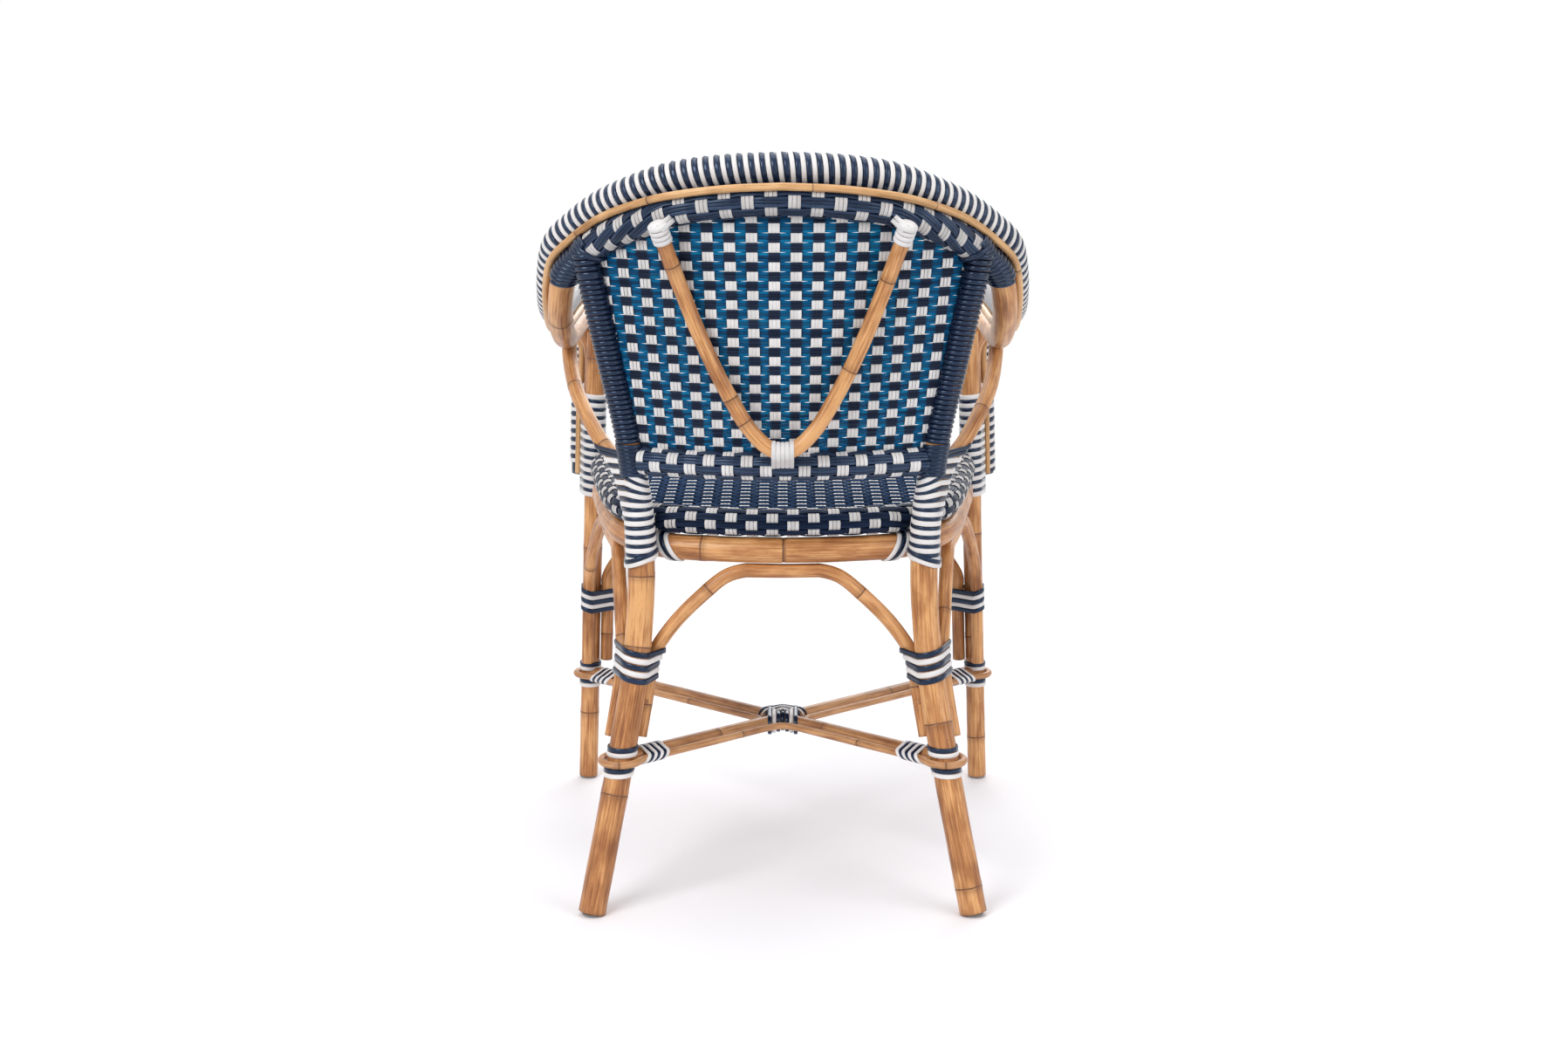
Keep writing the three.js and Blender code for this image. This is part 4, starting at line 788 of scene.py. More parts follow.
def rattan(name, pale, honey, brown):
    """Varnished cane: long streaks, blotches, specks and dark growth rings."""
    material, tree, shader = new_material(name)
    grain, tone = attribute(tree, "grain", "Vector"), attribute(tree, "tone")
    streak = noise(tree, grain, (420, 420, 14), 5, 0.6)
    fibre = noise(tree, grain, (1500, 1500, 60), 3, 0.6)
    blotch = noise(tree, grain, (60, 60, 22), 3, 0.5)
    speck = noise(tree, grain, (520, 520, 260), 2, 0.5)
    body = summed(tree, (streak, 0.55), (blotch, 0.45), (tone, 0.11, 0.5), (fibre, 0.16, 0.5))
    colour = ramp(tree, body, [(0.35, brown), (0.475, honey), (0.60, pale)])
    dots = ramp(tree, speck, [(0.69, (0, 0, 0)), (0.75, (1, 1, 1))])
    colour = mixed(tree, maths(tree, "MULTIPLY", dots, 0.55), colour, (0.1, 0.045, 0.02))
    ring = maths(tree, "MULTIPLY", attribute(tree, "mark"), maths(tree, "ADD", 0.55, blotch), clamp=True)
    colour = mixed(tree, ring, colour, (0.13, 0.05, 0.02))
    varnished(tree, shader, colour, 0.3, streak, shine=0.3, coat=0.2)
    bumped(tree, shader, maths(tree, "ADD", fibre, streak), 0.22, 0.0006)
    return material


def reed_material(name, deep, light, painted_backlight_stops=None, rough=0.5, coat=0.0, shine=0.15, tint=(1, 1, 1)):
    """Wound or woven flat reed with fine lines along it; the backlit colours, when given, are a painted
    backlight laid where the mark attribute is set.
    """
    material, tree, shader = new_material(name)
    grain, tone = attribute(tree, "grain", "Vector"), attribute(tree, "tone")
    line = noise(tree, grain, (2600, 2600, 20), 3, 0.6)
    cloud = noise(tree, grain, (160, 160, 40), 3, 0.5)
    body = summed(tree, (line, 0.55), (cloud, 0.45), (tone, 0.22, 0.5))
    colour = ramp(tree, body, [(0.3, deep), (0.72, light)])
    # Painted backlight: where the mark attribute is set, the reed takes lighter blue colours as if lit
    # through.
    if painted_backlight_stops is not None:
        painted_backlight_colour = ramp(tree, body, list(zip((0.3, 0.5, 0.68), painted_backlight_stops)))
        colour = mixed(tree, attribute(tree, "mark"), colour, painted_backlight_colour)
    varnished(tree, shader, colour, rough - 0.1, cloud, shine, coat, tint)
    bumped(tree, shader, line, 0.16, 0.0004)
    return material


def plain_plastic(name, dark, light):
    material, tree, shader = new_material(name)
    mottle = noise(tree, attribute(tree, "grain", "Vector"), (900, 900, 900), 3, 0.6)
    feed(tree, ramp(tree, mottle, [(0.35, dark), (0.65, light)]), shader.inputs["Base Color"])
    feed(tree, maths(tree, "ADD", 0.42, maths(tree, "MULTIPLY", mottle, 0.2)), shader.inputs["Roughness"])
    bumped(tree, shader, mottle, 0.1, 0.0003)
    return material


cane = rattan("rattan_cane", (0.72, 0.375, 0.152), (0.46, 0.195, 0.066), (0.25, 0.088, 0.028))
thin_cane = rattan("rattan_thin_cane", (0.62, 0.33, 0.150), (0.43, 0.20, 0.082), (0.25, 0.10, 0.038))
strip_cane = rattan("rattan_strip_cane", (0.72, 0.44, 0.21), (0.58, 0.32, 0.135), (0.36, 0.17, 0.06))
BLUE_SHINE = (0.5, 0.7, 1.0)
navy = reed_material("navy_reed", (0.002, 0.005, 0.018), (0.010, 0.020, 0.052),
                     rough=0.2, coat=0.14, shine=0.45, tint=BLUE_SHINE)
white = reed_material("white_reed", (0.68, 0.65, 0.63), (0.84, 0.81, 0.80), rough=0.42, coat=0.12, shine=0.35)
# Navy of the back's weft, painted lighter blue between the columns as a painted backlight where light shines
# through the reed.
back_navy = reed_material("woven_navy_reed", (0.008, 0.012, 0.026), (0.022, 0.032, 0.06), shine=0.05,
                          painted_backlight_stops=((0.002, 0.05, 0.13), (0.003, 0.10, 0.24), (0.006, 0.175, 0.345)))
# Darker copy of the navy reed for the seat's roll: painted shade, as the roll lies in shade under the back.
# It also colours the dark layers under the woven covers.
shaded_seat_navy = reed_material("shaded_seat_navy_reed", (0.002, 0.004, 0.013), (0.014, 0.026, 0.062),
                          rough=0.34, coat=0.02, shine=0.1, tint=BLUE_SHINE)
# Lighter copy of the navy reed for the covers over the bow and the crossbar: its light end is a painted
# highlight along the reeds.
highlit_cover_navy = reed_material("highlit_cover_navy_reed", (0.003, 0.007, 0.020), (0.036, 0.058, 0.115),
                           rough=0.28, coat=0.08, shine=0.35, tint=BLUE_SHINE)
deck_navy = reed_material("seat_deck_navy_reed", (0.014, 0.032, 0.076), (0.042, 0.080, 0.165), shine=0.0)
woven_white = reed_material("woven_white_reed", (0.60, 0.58, 0.57), (0.80, 0.775, 0.77))
# Darker copy of the woven white reed for the seat's roll and the bow's cover: painted shade.
shaded_seat_white = reed_material("shaded_seat_white_reed", (0.45, 0.43, 0.42), (0.64, 0.615, 0.61))
glide_plastic = plain_plastic("glide_plastic", (0.17, 0.17, 0.18), (0.3, 0.3, 0.31))
REEDS = {"navy": navy, "white": white}


# Poles

def pole_pair(name, route, radius, left, right, material=cane, **kept):
    """A pole on the sitter's left and, mirrored, on the right, each side with growth rings of its own."""
    for side, nodes in (("left", left), ("right", right)):
        piece = Piece(f"{name}_{side}_form")
        pole(piece, route, radius, nodes=nodes, **kept)
        piece.build(material, "rattan", [f"{name}_{side}"], mirror=side == "right")


def heights(route, *values):
    return [route.share_at_height(v) for v in values]


pole_pair("rear_post", post, post_radius, heights(post, 141, 309, 391), heights(post, 33, 222, 297),
          low=post.share_at_height(GLIDE_HEIGHT), sides=36)
pole_pair("front_leg", leg, LEG_RADIUS, heights(leg, 96, 330, 590), heights(leg, 60, 205, 350),
          low=leg.share_at_height(GLIDE_HEIGHT), high=0.98, sides=32)


def single(name, route, radius, nodes=(), material=cane, **kept):
    piece = Piece(f"{name}_form")
    pole(piece, route, radius, nodes=nodes, **kept)
    piece.build(material, "rattan", [name])


def near(route, *points):
    return [route.nearest(vec(*p)) for p in points]


single("arm_bow", bow, BOW_RADIUS, sides=32,
       nodes=near(bow, (252, 130, 700), (-255, 60, 655), (262, -150, 650), (-262, -170, 650),
                  (254, -240, 520)))
single("seat_rail", rail, RAIL_RADIUS, sides=32,
       nodes=near(rail, (94, 190, 421), (-150, 150, 421), (226, -40, 421), (-226, -110, 421),
                  (60, -213, 421)),
       seams=near(rail, (0, 195, 421)))
single("crossbar", crossbar, BAR_RADIUS)
single("rear_arch", rear_arch, ARCH_RADIUS,
       nodes=near(rear_arch, (82, 190, 370), (-88, 190, 366), (160, 220, 240), (-156, 222, 262)))
single("front_arch", front_arch, ARCH_RADIUS,
       nodes=near(front_arch, (150, -213, 380), (-90, -213, 398), (236, -205, 210)))
single("back_brace", brace, BRACE_RADIUS,
       nodes=near(brace, (34, 262, 590), (-82, 285, 640), (60, 280, 610), (118, 300, 760), (-120, 300, 740)))
single("stretcher_upper", stretcher, STRETCHER_RADIUS, material=thin_cane, nodes=[0.24, 0.72])
single("stretcher_lower", Route([reflected(p) for p in stretcher_points]), STRETCHER_RADIUS,
       material=thin_cane, nodes=[0.3, 0.83])
pole_pair("side_arch", side_arch, ARCH_RADIUS, [0.17, 0.52, 0.8], [0.22, 0.61, 0.86])
pole_pair("arm_strut", strut, STRUT_RADIUS, [0.34, 0.7], [0.55])

corners = {"rear": (reflected(rear_tie), rear_tie), "left": (rear_tie, front_tie),
           "front": (front_tie, reflected(front_tie)), "right": (reflected(front_tie), reflected(rear_tie))}
for side, (first, second) in corners.items():
    single(f"stretcher_cane_{side}", corner_cane(first, second), CANE_RADIUS, material=thin_cane,
           nodes=[0.2, 0.66], sides=16, step=3)


# Strips in the creases of the rim

single("outer_strip", outer_strip, STRIP_RADIUS, material=strip_cane, sides=16, step=3,
       nodes=near(outer_strip, (213, 240, 765), (135, 290, 805), (-262, 60, 680), (-250, 190, 740),
                  (262, -60, 660)),
       seams=near(outer_strip, (-32, 320, 850), (-162, 290, 800)))
pole_pair("inner_strip", inner_strip, STRIP_RADIUS, [0.3, 0.71], [0.3, 0.71], strip_cane, sides=16, step=3)


# Rim of two reeds wound side by side

def core_of(name, node, route, radius, low=0.0, high=1.0, material=shaded_seat_navy, slot="weave"):
    """Plain dark layer under a wound or woven cover; under the woven covers it is painted shade that darkens
    the gaps between the reeds.
    """
    piece = Piece(name)
    pole(piece, route, radius, low, high, sides=20, step=6)
    piece.build(material, slot, [node])


def rim_loop(share, radius):
    """Round outline of the rim, started on the side that faces the bow."""
    centre, along = rim.at(share), rim.tangent(share)
    inward = bow.at(bow.nearest(centre)) - centre
    across = unit(inward - along * inward.dot(along))
    other = np.cross(along, across)
    angle = np.linspace(0, 2 * math.pi, 24, endpoint=False)
    out = np.cos(angle)[:, None] * across + np.sin(angle)[:, None] * other
    return centre + out * (radius + REED_ROOM / 2), out, along


def rim_form():
    pitch, thickness = 11.8, 2.3
    core = RIM_RADIUS - thickness + 0.9
    core_of("rim_core", "rim_band", rim, core, material=navy, slot="navy_reed")
    for colour, lag in (("navy", 0.0), ("white", 0.5)):
        piece = Piece(f"rim_{colour}_reed")
        shares = [(i + lag + 0.25) * pitch / rim.length for i in range(int(rim.length / pitch))]
        helix_of(piece, [rim_loop(min(share, 1.0), core) for share in shares], pitch / 2 - 0.25, thickness)
        piece.build(REEDS[colour], f"{colour}_reed", ["rim_band"])


rim_form()


# Woven faces

STRANDS = (-1, 0, 1)
WARP_FLATNESS = 1.4
WEFT_STEP = 3.8

def over_under(phase, flat=2.0):
    return np.tanh(flat * np.cos(math.pi * phase)) / math.tanh(flat)


def painted_backlight_share(phase):
    """Painted backlight: 1 between the columns, where the reed has nothing behind it, 0 on them."""
    return smoothstep(np.abs(phase - np.round(phase)), 0.26, 0.31)


def panel_surface():
    """Search tree over the panel."""
    side = 91
    points = [Vector(panel_point(a, b)) for a in np.linspace(-1, 1, side) for b in np.linspace(0, 1, side)]
    corners = [i * side + j for i in range(side - 1) for j in range(side - 1)]
    return BVHTree.FromPolygons(points, [(i, i + side, i + side + 1, i + 1) for i in corners])


panel_tree = panel_surface()
COLUMN_FOOT, COLUMN_TOP, COLUMN_START, ROW_PITCH = 21.3, 24.8, -2.8, 10.7


def column_pitch(height):
    return COLUMN_FOOT + (COLUMN_TOP - COLUMN_FOOT) * np.clip((height - BAR_HEIGHT) / 300, -0.1, 1.1)


def column_place(k, height):
    return COLUMN_START + (k + 0.5) * column_pitch(height)


def on_panel(x, z):
    """Points and rearward directions of the panel, and which of them lie on it."""
    points, ways, held = [], [], []
    for a, b in zip(x, z):
        hit, normal, _, _ = panel_tree.ray_cast(Vector((a, 0, b)), Vector((0, 1, 0)))
        held.append(hit is not None)
        points.append(hit if hit is not None else (a, 0, b))
        ways.append(normal if hit is not None else (0, 1, 0))
    ways = np.array(ways, float)
    ways *= np.where(ways[:, 1:2] < 0, -1, 1)
    return np.array(points, float), ways, np.array(held)


def runs_of(held):
    """Start and end of each unbroken run of held places."""
    edges = np.flatnonzero(np.diff(np.concatenate([[0], held.astype(int), [0]])))
    return list(zip(edges[::2], edges[1::2]))


def laid(piece, points, ways, held, height, width, thickness, section, mark):
    for start, end in runs_of(held):
        if end - start > 3:
            path = points[start:end] + ways[start:end] * height[start:end, None]
            reed(piece, path, ways[start:end], width, thickness, section=section, mark=mark[start:end])


def back_panel():
    weft, warp = Piece("back_weft"), Piece("back_warp")
    weft_rise, weft_width, weft_gap = 0.85, 3.6, 3.5
    warp_rise, warp_width, warp_gap = 0.7, 4.25, 4.15
    x = np.arange(-250, 250.1, 2.7)
    for row in range(-1, 30):
        middle = BAR_HEIGHT + 4 + row * ROW_PITCH
        for strand in STRANDS:
            z = np.full(len(x), middle + strand * weft_gap)
            points, ways, held = on_panel(x, z)
            phase = (x - COLUMN_START) / column_pitch(z) - 0.5
            # Painted backlight between the columns, half as strong on the middle reed of each bundle, which
            # leaves a painted shade along it.
            light = painted_backlight_share(phase) * (0.5 if strand == 0 else 1.0)
            height = weft_rise * over_under(phase + row)
            laid(weft, points, ways, held, height, weft_width, 1.3, ROUND_STRAND, light)
    z = np.arange(BAR_HEIGHT - 8, BAR_HEIGHT + 310, 1.8)
    phase = (z - BAR_HEIGHT - 4) / ROW_PITCH
    for k in range(-11, 11):
        for strand in STRANDS:
            points, ways, held = on_panel(column_place(k, z) + strand * warp_gap, z)
            height = -warp_rise * over_under(phase + k, WARP_FLATNESS)
            laid(warp, points, ways, held, height, warp_width, 1.1, FLAT_STRAND, np.zeros(len(z)))
    weft.build(back_navy, "weave", ["woven_back"])
    warp.build(woven_white, "weave", ["woven_back"])


back_panel()


def tube_place(route, radius, twist=None, drop=0.0):
    """Places on a tube round a route: share along it, angle from its outward side, turned by the twist."""
    def place(share, angle, height):
        centre, along = route.at(share) - (0, 0, drop), route.tangent(share)
        if twist is not None:
            angle = angle + twist(share)
        across, other = tube_ways(along)
        out = np.cos(angle)[:, None] * across + np.sin(angle)[:, None] * other
        return centre + out * (radius + height)[:, None], out
    return place


def tube_ways(along):
    """Across a tube: away from the chair's middle for level routes, and up."""
    level = np.stack([-along[:, 1], along[:, 0], np.zeros(len(along))], axis=-1)
    across = unit(level)
    other = np.cross(across, along)
    return across, np.where(other[:, 2:3] < 0, -other, other)


def woven_tube(name, node, materials, place, length, low, high, columns, row_angles, weft_size, warp_size,
               closed=False, weft_rise=0.8, warp_rise=0.7, spread=3.35):
    """Plain weave round a tube: bundles of three reeds along it, over and under bundles across it."""
    weft, warp = Piece(f"{name}_weft"), Piece(f"{name}_warp")
    gap = (row_angles[-1] - row_angles[0]) / (len(row_angles) - 1)
    fine = int((high - low) * length / WEFT_STEP)
    share = np.linspace(low, high, fine, endpoint=not closed)
    phase = (share - columns[0]) / columns[1]
    for row, angle in enumerate(row_angles):
        for strand in STRANDS:
            angles = np.full(fine, angle + strand * gap / spread)
            points, out = place(share, angles, weft_rise * over_under(phase + row))
            reed(weft, points, out, *weft_size, section=ROUND_STRAND, closed=closed)
    angles = np.linspace(row_angles[0] - gap * 0.6, row_angles[-1] + gap * 0.6, len(row_angles) * 6)
    steps = (angles - row_angles[0]) / gap
    for k in range(int(round((high - low) / columns[1]))):
        for strand in STRANDS:
            at = columns[0] + k * columns[1] + strand * warp_size[0] * 1.02 / length
            if at < low - 1e-4 or at > high + 1e-4:
                continue
            rise = -warp_rise * over_under(steps + k, WARP_FLATNESS)
            points, out = place(np.full(len(steps), at), angles, rise)
            reed(warp, points, out, *warp_size, section=FLAT_STRAND)
    weft.build(materials[0], "weave", [node])
    warp.build(materials[1], "weave", [node])


def seat_roll():
    """Weave round the seat's edge; away from the middle of the back its bundles are turned down round it."""
    # Dark layer under the roll's weave: painted shade in the gaps between its bundles.
    core_of("seat_roll_shade_core", "woven_seat", roll, ROLL_RADIUS - 3)
    columns = 2 * round(roll.length / 23.4 / 2)
    angles = np.radians(np.arange(-76, 284, 36))

    def twist(share):
        from_middle = np.minimum(share, 1 - share) * roll.length
        return -1.3 * smoothstep(from_middle, 105, 215)

    woven_tube("seat_roll", "woven_seat", (shaded_seat_navy, shaded_seat_white), tube_place(roll, ROLL_RADIUS - 1.9, twist),
               roll.length, 0.0, 1.0, (0.5 / columns, 1 / columns), angles, (2.75, 1.4), (4.3, 1.15),
               closed=True, warp_rise=1.0, spread=3.65)


seat_roll()


def seat_deck():
    """Flat weave inside the roll: reeds side to side over and under reeds front to back."""
    weft, warp = Piece("seat_deck_weft"), Piece("seat_deck_warp")
    height = ROLL_HEIGHT + ROLL_RADIUS * 2 / 3
    outline = roll.dense[:-1, :2]
    (left, front), (right, rear) = outline.min(axis=0), outline.max(axis=0)
    pitch, row_pitch, weft_gap, warp_gap, margin, edge = 22.6, 10.2, 3.35, 4.0, 8, 4
    weft_rise, warp_rise, least_length = 1.3, 0.52, 20

    def crossings(value, axis):
        a, b = outline, np.roll(outline, -1, axis=0)
        hit = (a[:, axis] < value) != (b[:, axis] < value)
        share = (value - a[hit, axis]) / (b[hit, axis] - a[hit, axis])
        places = a[hit, 1 - axis] + share * (b[hit, 1 - axis] - a[hit, 1 - axis])
        return places.min() + edge, places.max() - edge

    for row in range(-20, 18):
        for strand in STRANDS:
            y = (row + 0.5) * row_pitch + strand * weft_gap
            low, high = crossings(y, 1) if front < y < rear else (0, 0)
            if high - low < least_length:
                continue
            x = np.arange(low, high, 4.0)
            rise = weft_rise * over_under(x / pitch + row)
            points = np.column_stack([x, np.full(len(x), y), height + rise])
            reed(weft, points, UP, 3.45, 1.3, section=ROUND_STRAND)
    for k in range(-11, 12):
        for strand in STRANDS:
            x = k * pitch + strand * warp_gap
            if not left + margin < x < right - margin:
                continue
            y = np.arange(*crossings(x, 0), 1.8)
            rise = warp_rise * over_under(y / row_pitch - 0.5 + k, WARP_FLATNESS)
            points = np.column_stack([np.full(len(y), x), y, height - rise])
            reed(warp, points, UP, 4.1, 1.1, section=FLAT_STRAND)
    weft.build(deck_navy, "weave", ["woven_seat"])
    warp.build(woven_white, "weave", ["woven_seat"])
    # Thin dark sheet between the deck's weft and warp: painted shade in the gaps between the reeds.
    between = Piece("seat_deck_shade_sheet")
    places = np.arange(front + margin, rear - margin, 6)
    low, high, ends = height - 0.3, height + 0.3, [crossings(y, 1) for y in places]
    rings = np.array([[(a, y, low), (b, y, low), (b, y, high), (a, y, high)]
                      for (a, b), y in zip(ends, places)])
    between.sweep(rings, places, np.zeros((1, 4, 2)), tone=0.2)
    between.build(shaded_seat_navy, "weave", ["woven_seat"])


seat_deck()


def bow_cover():
    """Weave round the bow over the back; towards the posts its bundles turn under the bow."""
    share = (lashing_from + 24 / bow_half.length) / 2
    low, high = 0.5 - share, 0.5 + share
    count = 2 * round((high - low) * bow.length / 24.8 / 2)
    angles = np.radians(np.arange(0, 360, 45))

    def twist(share):
        from_end = (0.5 - np.abs(share - 0.5) - low) * bow.length
        return -2.2 * (1 - smoothstep(from_end, 0, 125))

    woven_tube("bow_cover", "woven_back", (highlit_cover_navy, shaded_seat_white), tube_place(bow, BOW_RADIUS + 1.7, twist),
               bow.length, low, high, (low + 0.5 * (high - low) / count, (high - low) / count), angles,
               (3.75, 1.4), (4.3, 1.15))
    # Dark layer under the bow cover's weave: painted shade in the gaps between its bundles.
    core_of("bow_cover_shade_core", "woven_back", bow, BOW_RADIUS + 0.7, low, high)


def bar_cover():
    """Weave round the crossbar between the posts."""
    low, high = 0.03, 0.97
    middle = 0.5 + COLUMN_START / crossbar.length
    step = 21.1 / crossbar.length
    start = middle - math.floor((middle - low) / step) * step
    angles = np.radians(np.arange(0, 360, 45) - 61)
    woven_tube("bar_cover", "woven_back", (highlit_cover_navy, woven_white),
               tube_place(crossbar, BAR_RADIUS + 3.4, drop=2.4), crossbar.length, low, high, (start, step),
               angles, (3.55, 1.4), (4.3, 1.2), weft_rise=1.0, warp_rise=0.85)
    # Dark layer under the crossbar cover's weave: painted shade in the gaps between its bundles.
    core_of("bar_cover_shade_core", "woven_back", crossbar, BAR_RADIUS + 0.8, low, high)


bow_cover()
bar_cover()


# Wraps and lashings

def reed_pieces(name, end=""):
    return {colour: Piece(f"{name}_{colour}{end}") for colour in REEDS}


def build_reeds(pieces, node, mirror=False):
    for colour, piece in pieces.items():
        if piece.count:
            piece.build(REEDS[colour], f"{colour}_reed", [node], mirror)


def pair_of(name, build):
    """Navy and white turns of one binding, on both sides."""
    for side in ("left", "right"):
        pieces = reed_pieces(name, f"_{side}")
        build(pieces)
        build_reeds(pieces, f"{name}_{side}", mirror=side == "right")


def close_turns(piece, foot, pitch, count, thickness):
    """Round reed wound close on the post, from a height up."""
    loops = [upright_loop([post], [post_radius], foot + pitch * (i + 0.5), 28) for i in range(count)]
    helix_of(piece, loops, pitch + 0.1, thickness, ROUND_REED)


def post_wrap(pieces):
    """Close turns up the post, above flat ones at the crossbar."""
    pitch, foot, top = 5.8, 548, 744
    flat_pitch, flat_foot, flat_turns = 4.7, 513, 8
    close_turns(pieces["navy"], foot, pitch, int((top - foot) / pitch) + 2, 2.4)
    loops = [outset(upright_loop([post], [post_radius], flat_foot + flat_pitch * i, 28), 1.6)
             for i in range(flat_turns)]
    rings_of(pieces, loops, ("navy",), 5.0, 1.7)


def bow_lashing(pieces):
    """Turns round the top of the post, and level ones over it and round the bow."""
    pitch, foot, turns, tilt = 6.6, 742, 5, 8
    close_turns(pieces["navy"], foot, pitch, turns, 2.8)
    loops = []
    for i in range(2, int((lashing_to - lashing_from) * bow_half.length / pitch) + 1):
        share = lashing_from + (i + 0.5) * pitch / bow_half.length
        over_cover = 3.4 * (1 - smoothstep(i, 3, 5))
        loops.append(tilted(pole_loop(bow_half, share, BOW_RADIUS + over_cover), tilt, UP))
    helix_of(pieces["navy"], loops, pitch + 0.1, 2.6, ROUND_REED)


def striped(curves, radii, foot, top, pitch, width, lean, over=0):
    """A white and a navy reed wound side by side; lean gives a turn's rise by its share of the height."""
    def build(pieces):
        for colour, lag in (("white", 0.3), ("navy", 0.8)):
            turns = [foot + (i + lag) * pitch for i in range(int((top + over - foot) / pitch - lag) + 1)]
            loops = [rising_loop(curves, radii, h, lean((h - foot) / (top - foot))) for h in turns]
            helix_of(pieces[colour], loops, width[colour], BAND_THICKNESS)
    return build


def rear_striped(pieces):
    """Stripes that rise outwards to the strut, navy turns at their top and two turns across their foot."""
    curves, radii = [post, strut], [post_radius, STRUT_RADIUS]
    foot, top, pitch = 406, 523, 10.7
    striped(curves, radii, foot, top, pitch, {"white": 6.4, "navy": 4.6},
            lambda share: 1 + 10 * smoothstep(share, 0.5, 1), over=6)(pieces)
    for height in (top + 1, top + 6):
        ring_of(pieces["navy"], rising_loop(curves, radii, height, 11), 5)
    for colour, height in (("navy", foot + 9), ("white", foot + 3.6)):
        ring_of(pieces[colour], outset(tilted(upright_loop(curves, radii, height), -6.5, ASIDE), 1.7), 5.2)


def binding(curves, radii, height, pitch, width, tilt):
    """Five turns round a leg and the feet of its two arches."""
    def build(pieces):
        loops = [tilted(upright_loop(curves, radii, height + i * pitch), tilt, ASIDE) for i in range(-2, 3)]
        rings_of(pieces, loops, ("navy", "white"), width)
    return build


pair_of("post_wrap", post_wrap)
pair_of("bow_lashing", bow_lashing)
bow_leg = bow_half.stretch(1 - (ARM_HEIGHT - ARM_BEND - BOW_FOOT) / bow_half.length, 1)
pair_of("rear_striped_wrap", rear_striped)
pair_of("front_striped_wrap", striped([leg, bow_leg], [LEG_RADIUS, BOW_RADIUS], foot=398, top=546, pitch=11.1,
                                      width={"white": 6.6, "navy": 4.8}, lean=lambda share: 2.5))

rear_rise, front_rise = SHOULDER_HEIGHT + 38 - REAR_ARCH_FOOT, SHOULDER_HEIGHT + 31 - FRONT_ARCH_FOOT
rear_arch_leg = rear_arch.stretch(0, rear_rise / rear_arch.length)
side_rear_leg = side_arch.stretch(0, rear_rise / side_arch.length)
side_front_leg = side_arch.stretch(1 - front_rise / side_arch.length, 1)
front_arch_leg = front_arch.stretch(0, front_rise / front_arch.length)
pair_of("rear_binding", binding([post, rear_arch_leg, side_rear_leg], [POST_RADIUS] + [ARCH_RADIUS] * 2,
                                height=289, pitch=7.5, width=6.9, tilt=4))
pair_of("front_binding", binding([leg, front_arch_leg, side_front_leg], [LEG_RADIUS] + [ARCH_RADIUS] * 2,
                                 height=260, pitch=6.2, width=5.8, tilt=3))


def leg_band(route, radius, height):
    def build(pieces):
        for shift, colour in ((14.5, "navy"), (8.6, "white"), (-9.0, "navy"), (-14.8, "white")):
            ring_of(pieces[colour], upright_loop([route], [radius], height + shift, 32), 5.8)
    return build


pair_of("rear_leg_band", leg_band(post, POST_RADIUS, REAR_TIE_HEIGHT))
pair_of("front_leg_band", leg_band(leg, LEG_RADIUS, FRONT_TIE_HEIGHT))


def leg_loop(tie, radius):
    """Thin cane round a leg, its ends along the stretcher."""
    reach = radius + 2.2 + CANE_RADIUS
    along = unit((cross_point - tie) * (1, 1, 0))
    across = np.cross(UP, along)
    bend = [tie + along * reach * math.cos(a) + across * reach * math.sin(a)
            for a in math.pi * (1 + np.array([-0.5, -0.25, 0, 0.25, 0.5]))]
    ends = [LASHING_START + LASHING_LENGTH / 2 - CANE_RADIUS, LASHING_START]
    first = [arm_point(tie, d, CANE_OFFSET) for d in ends]
    second = [arm_point(tie, d, -CANE_OFFSET) for d in reversed(ends)]
    return Route(first + bend + second)


for end, tie, radius, node in (("rear", rear_tie, POST_RADIUS, 0.62), ("front", front_tie, LEG_RADIUS, 0.41)):
    pole_pair(f"{end}_leg_loop", leg_loop(tie, radius), CANE_RADIUS, [node], [node], thin_cane,
              sides=18, step=2)


def stretcher_lashing(tie):
    """Seven turns round a stretcher and the ends of the canes beside it."""
    line = Route([tie, (tie + cross_point) / 2, cross_point])
    beside = [(CANE_OFFSET - 0.5, CANE_RADIUS), (0.5 - CANE_OFFSET, CANE_RADIUS)]
    start, pitch, turns, tilt = LASHING_START + 2.5, 4.9, 7, 4.5

    def build(pieces):
        shares = [(start + i * pitch) / line.length for i in range(turns)]
        loops = [tilted(pole_loop(line, share, STRETCHER_RADIUS, beside, LOOP_POINTS), tilt, UP)
                 for share in shares]
        rings_of(pieces, loops, ("white", "navy"), 4.7, 1.9)
    return build


pair_of("rear_stretcher_lashing", stretcher_lashing(rear_tie))
pair_of("front_stretcher_lashing", stretcher_lashing(front_tie))


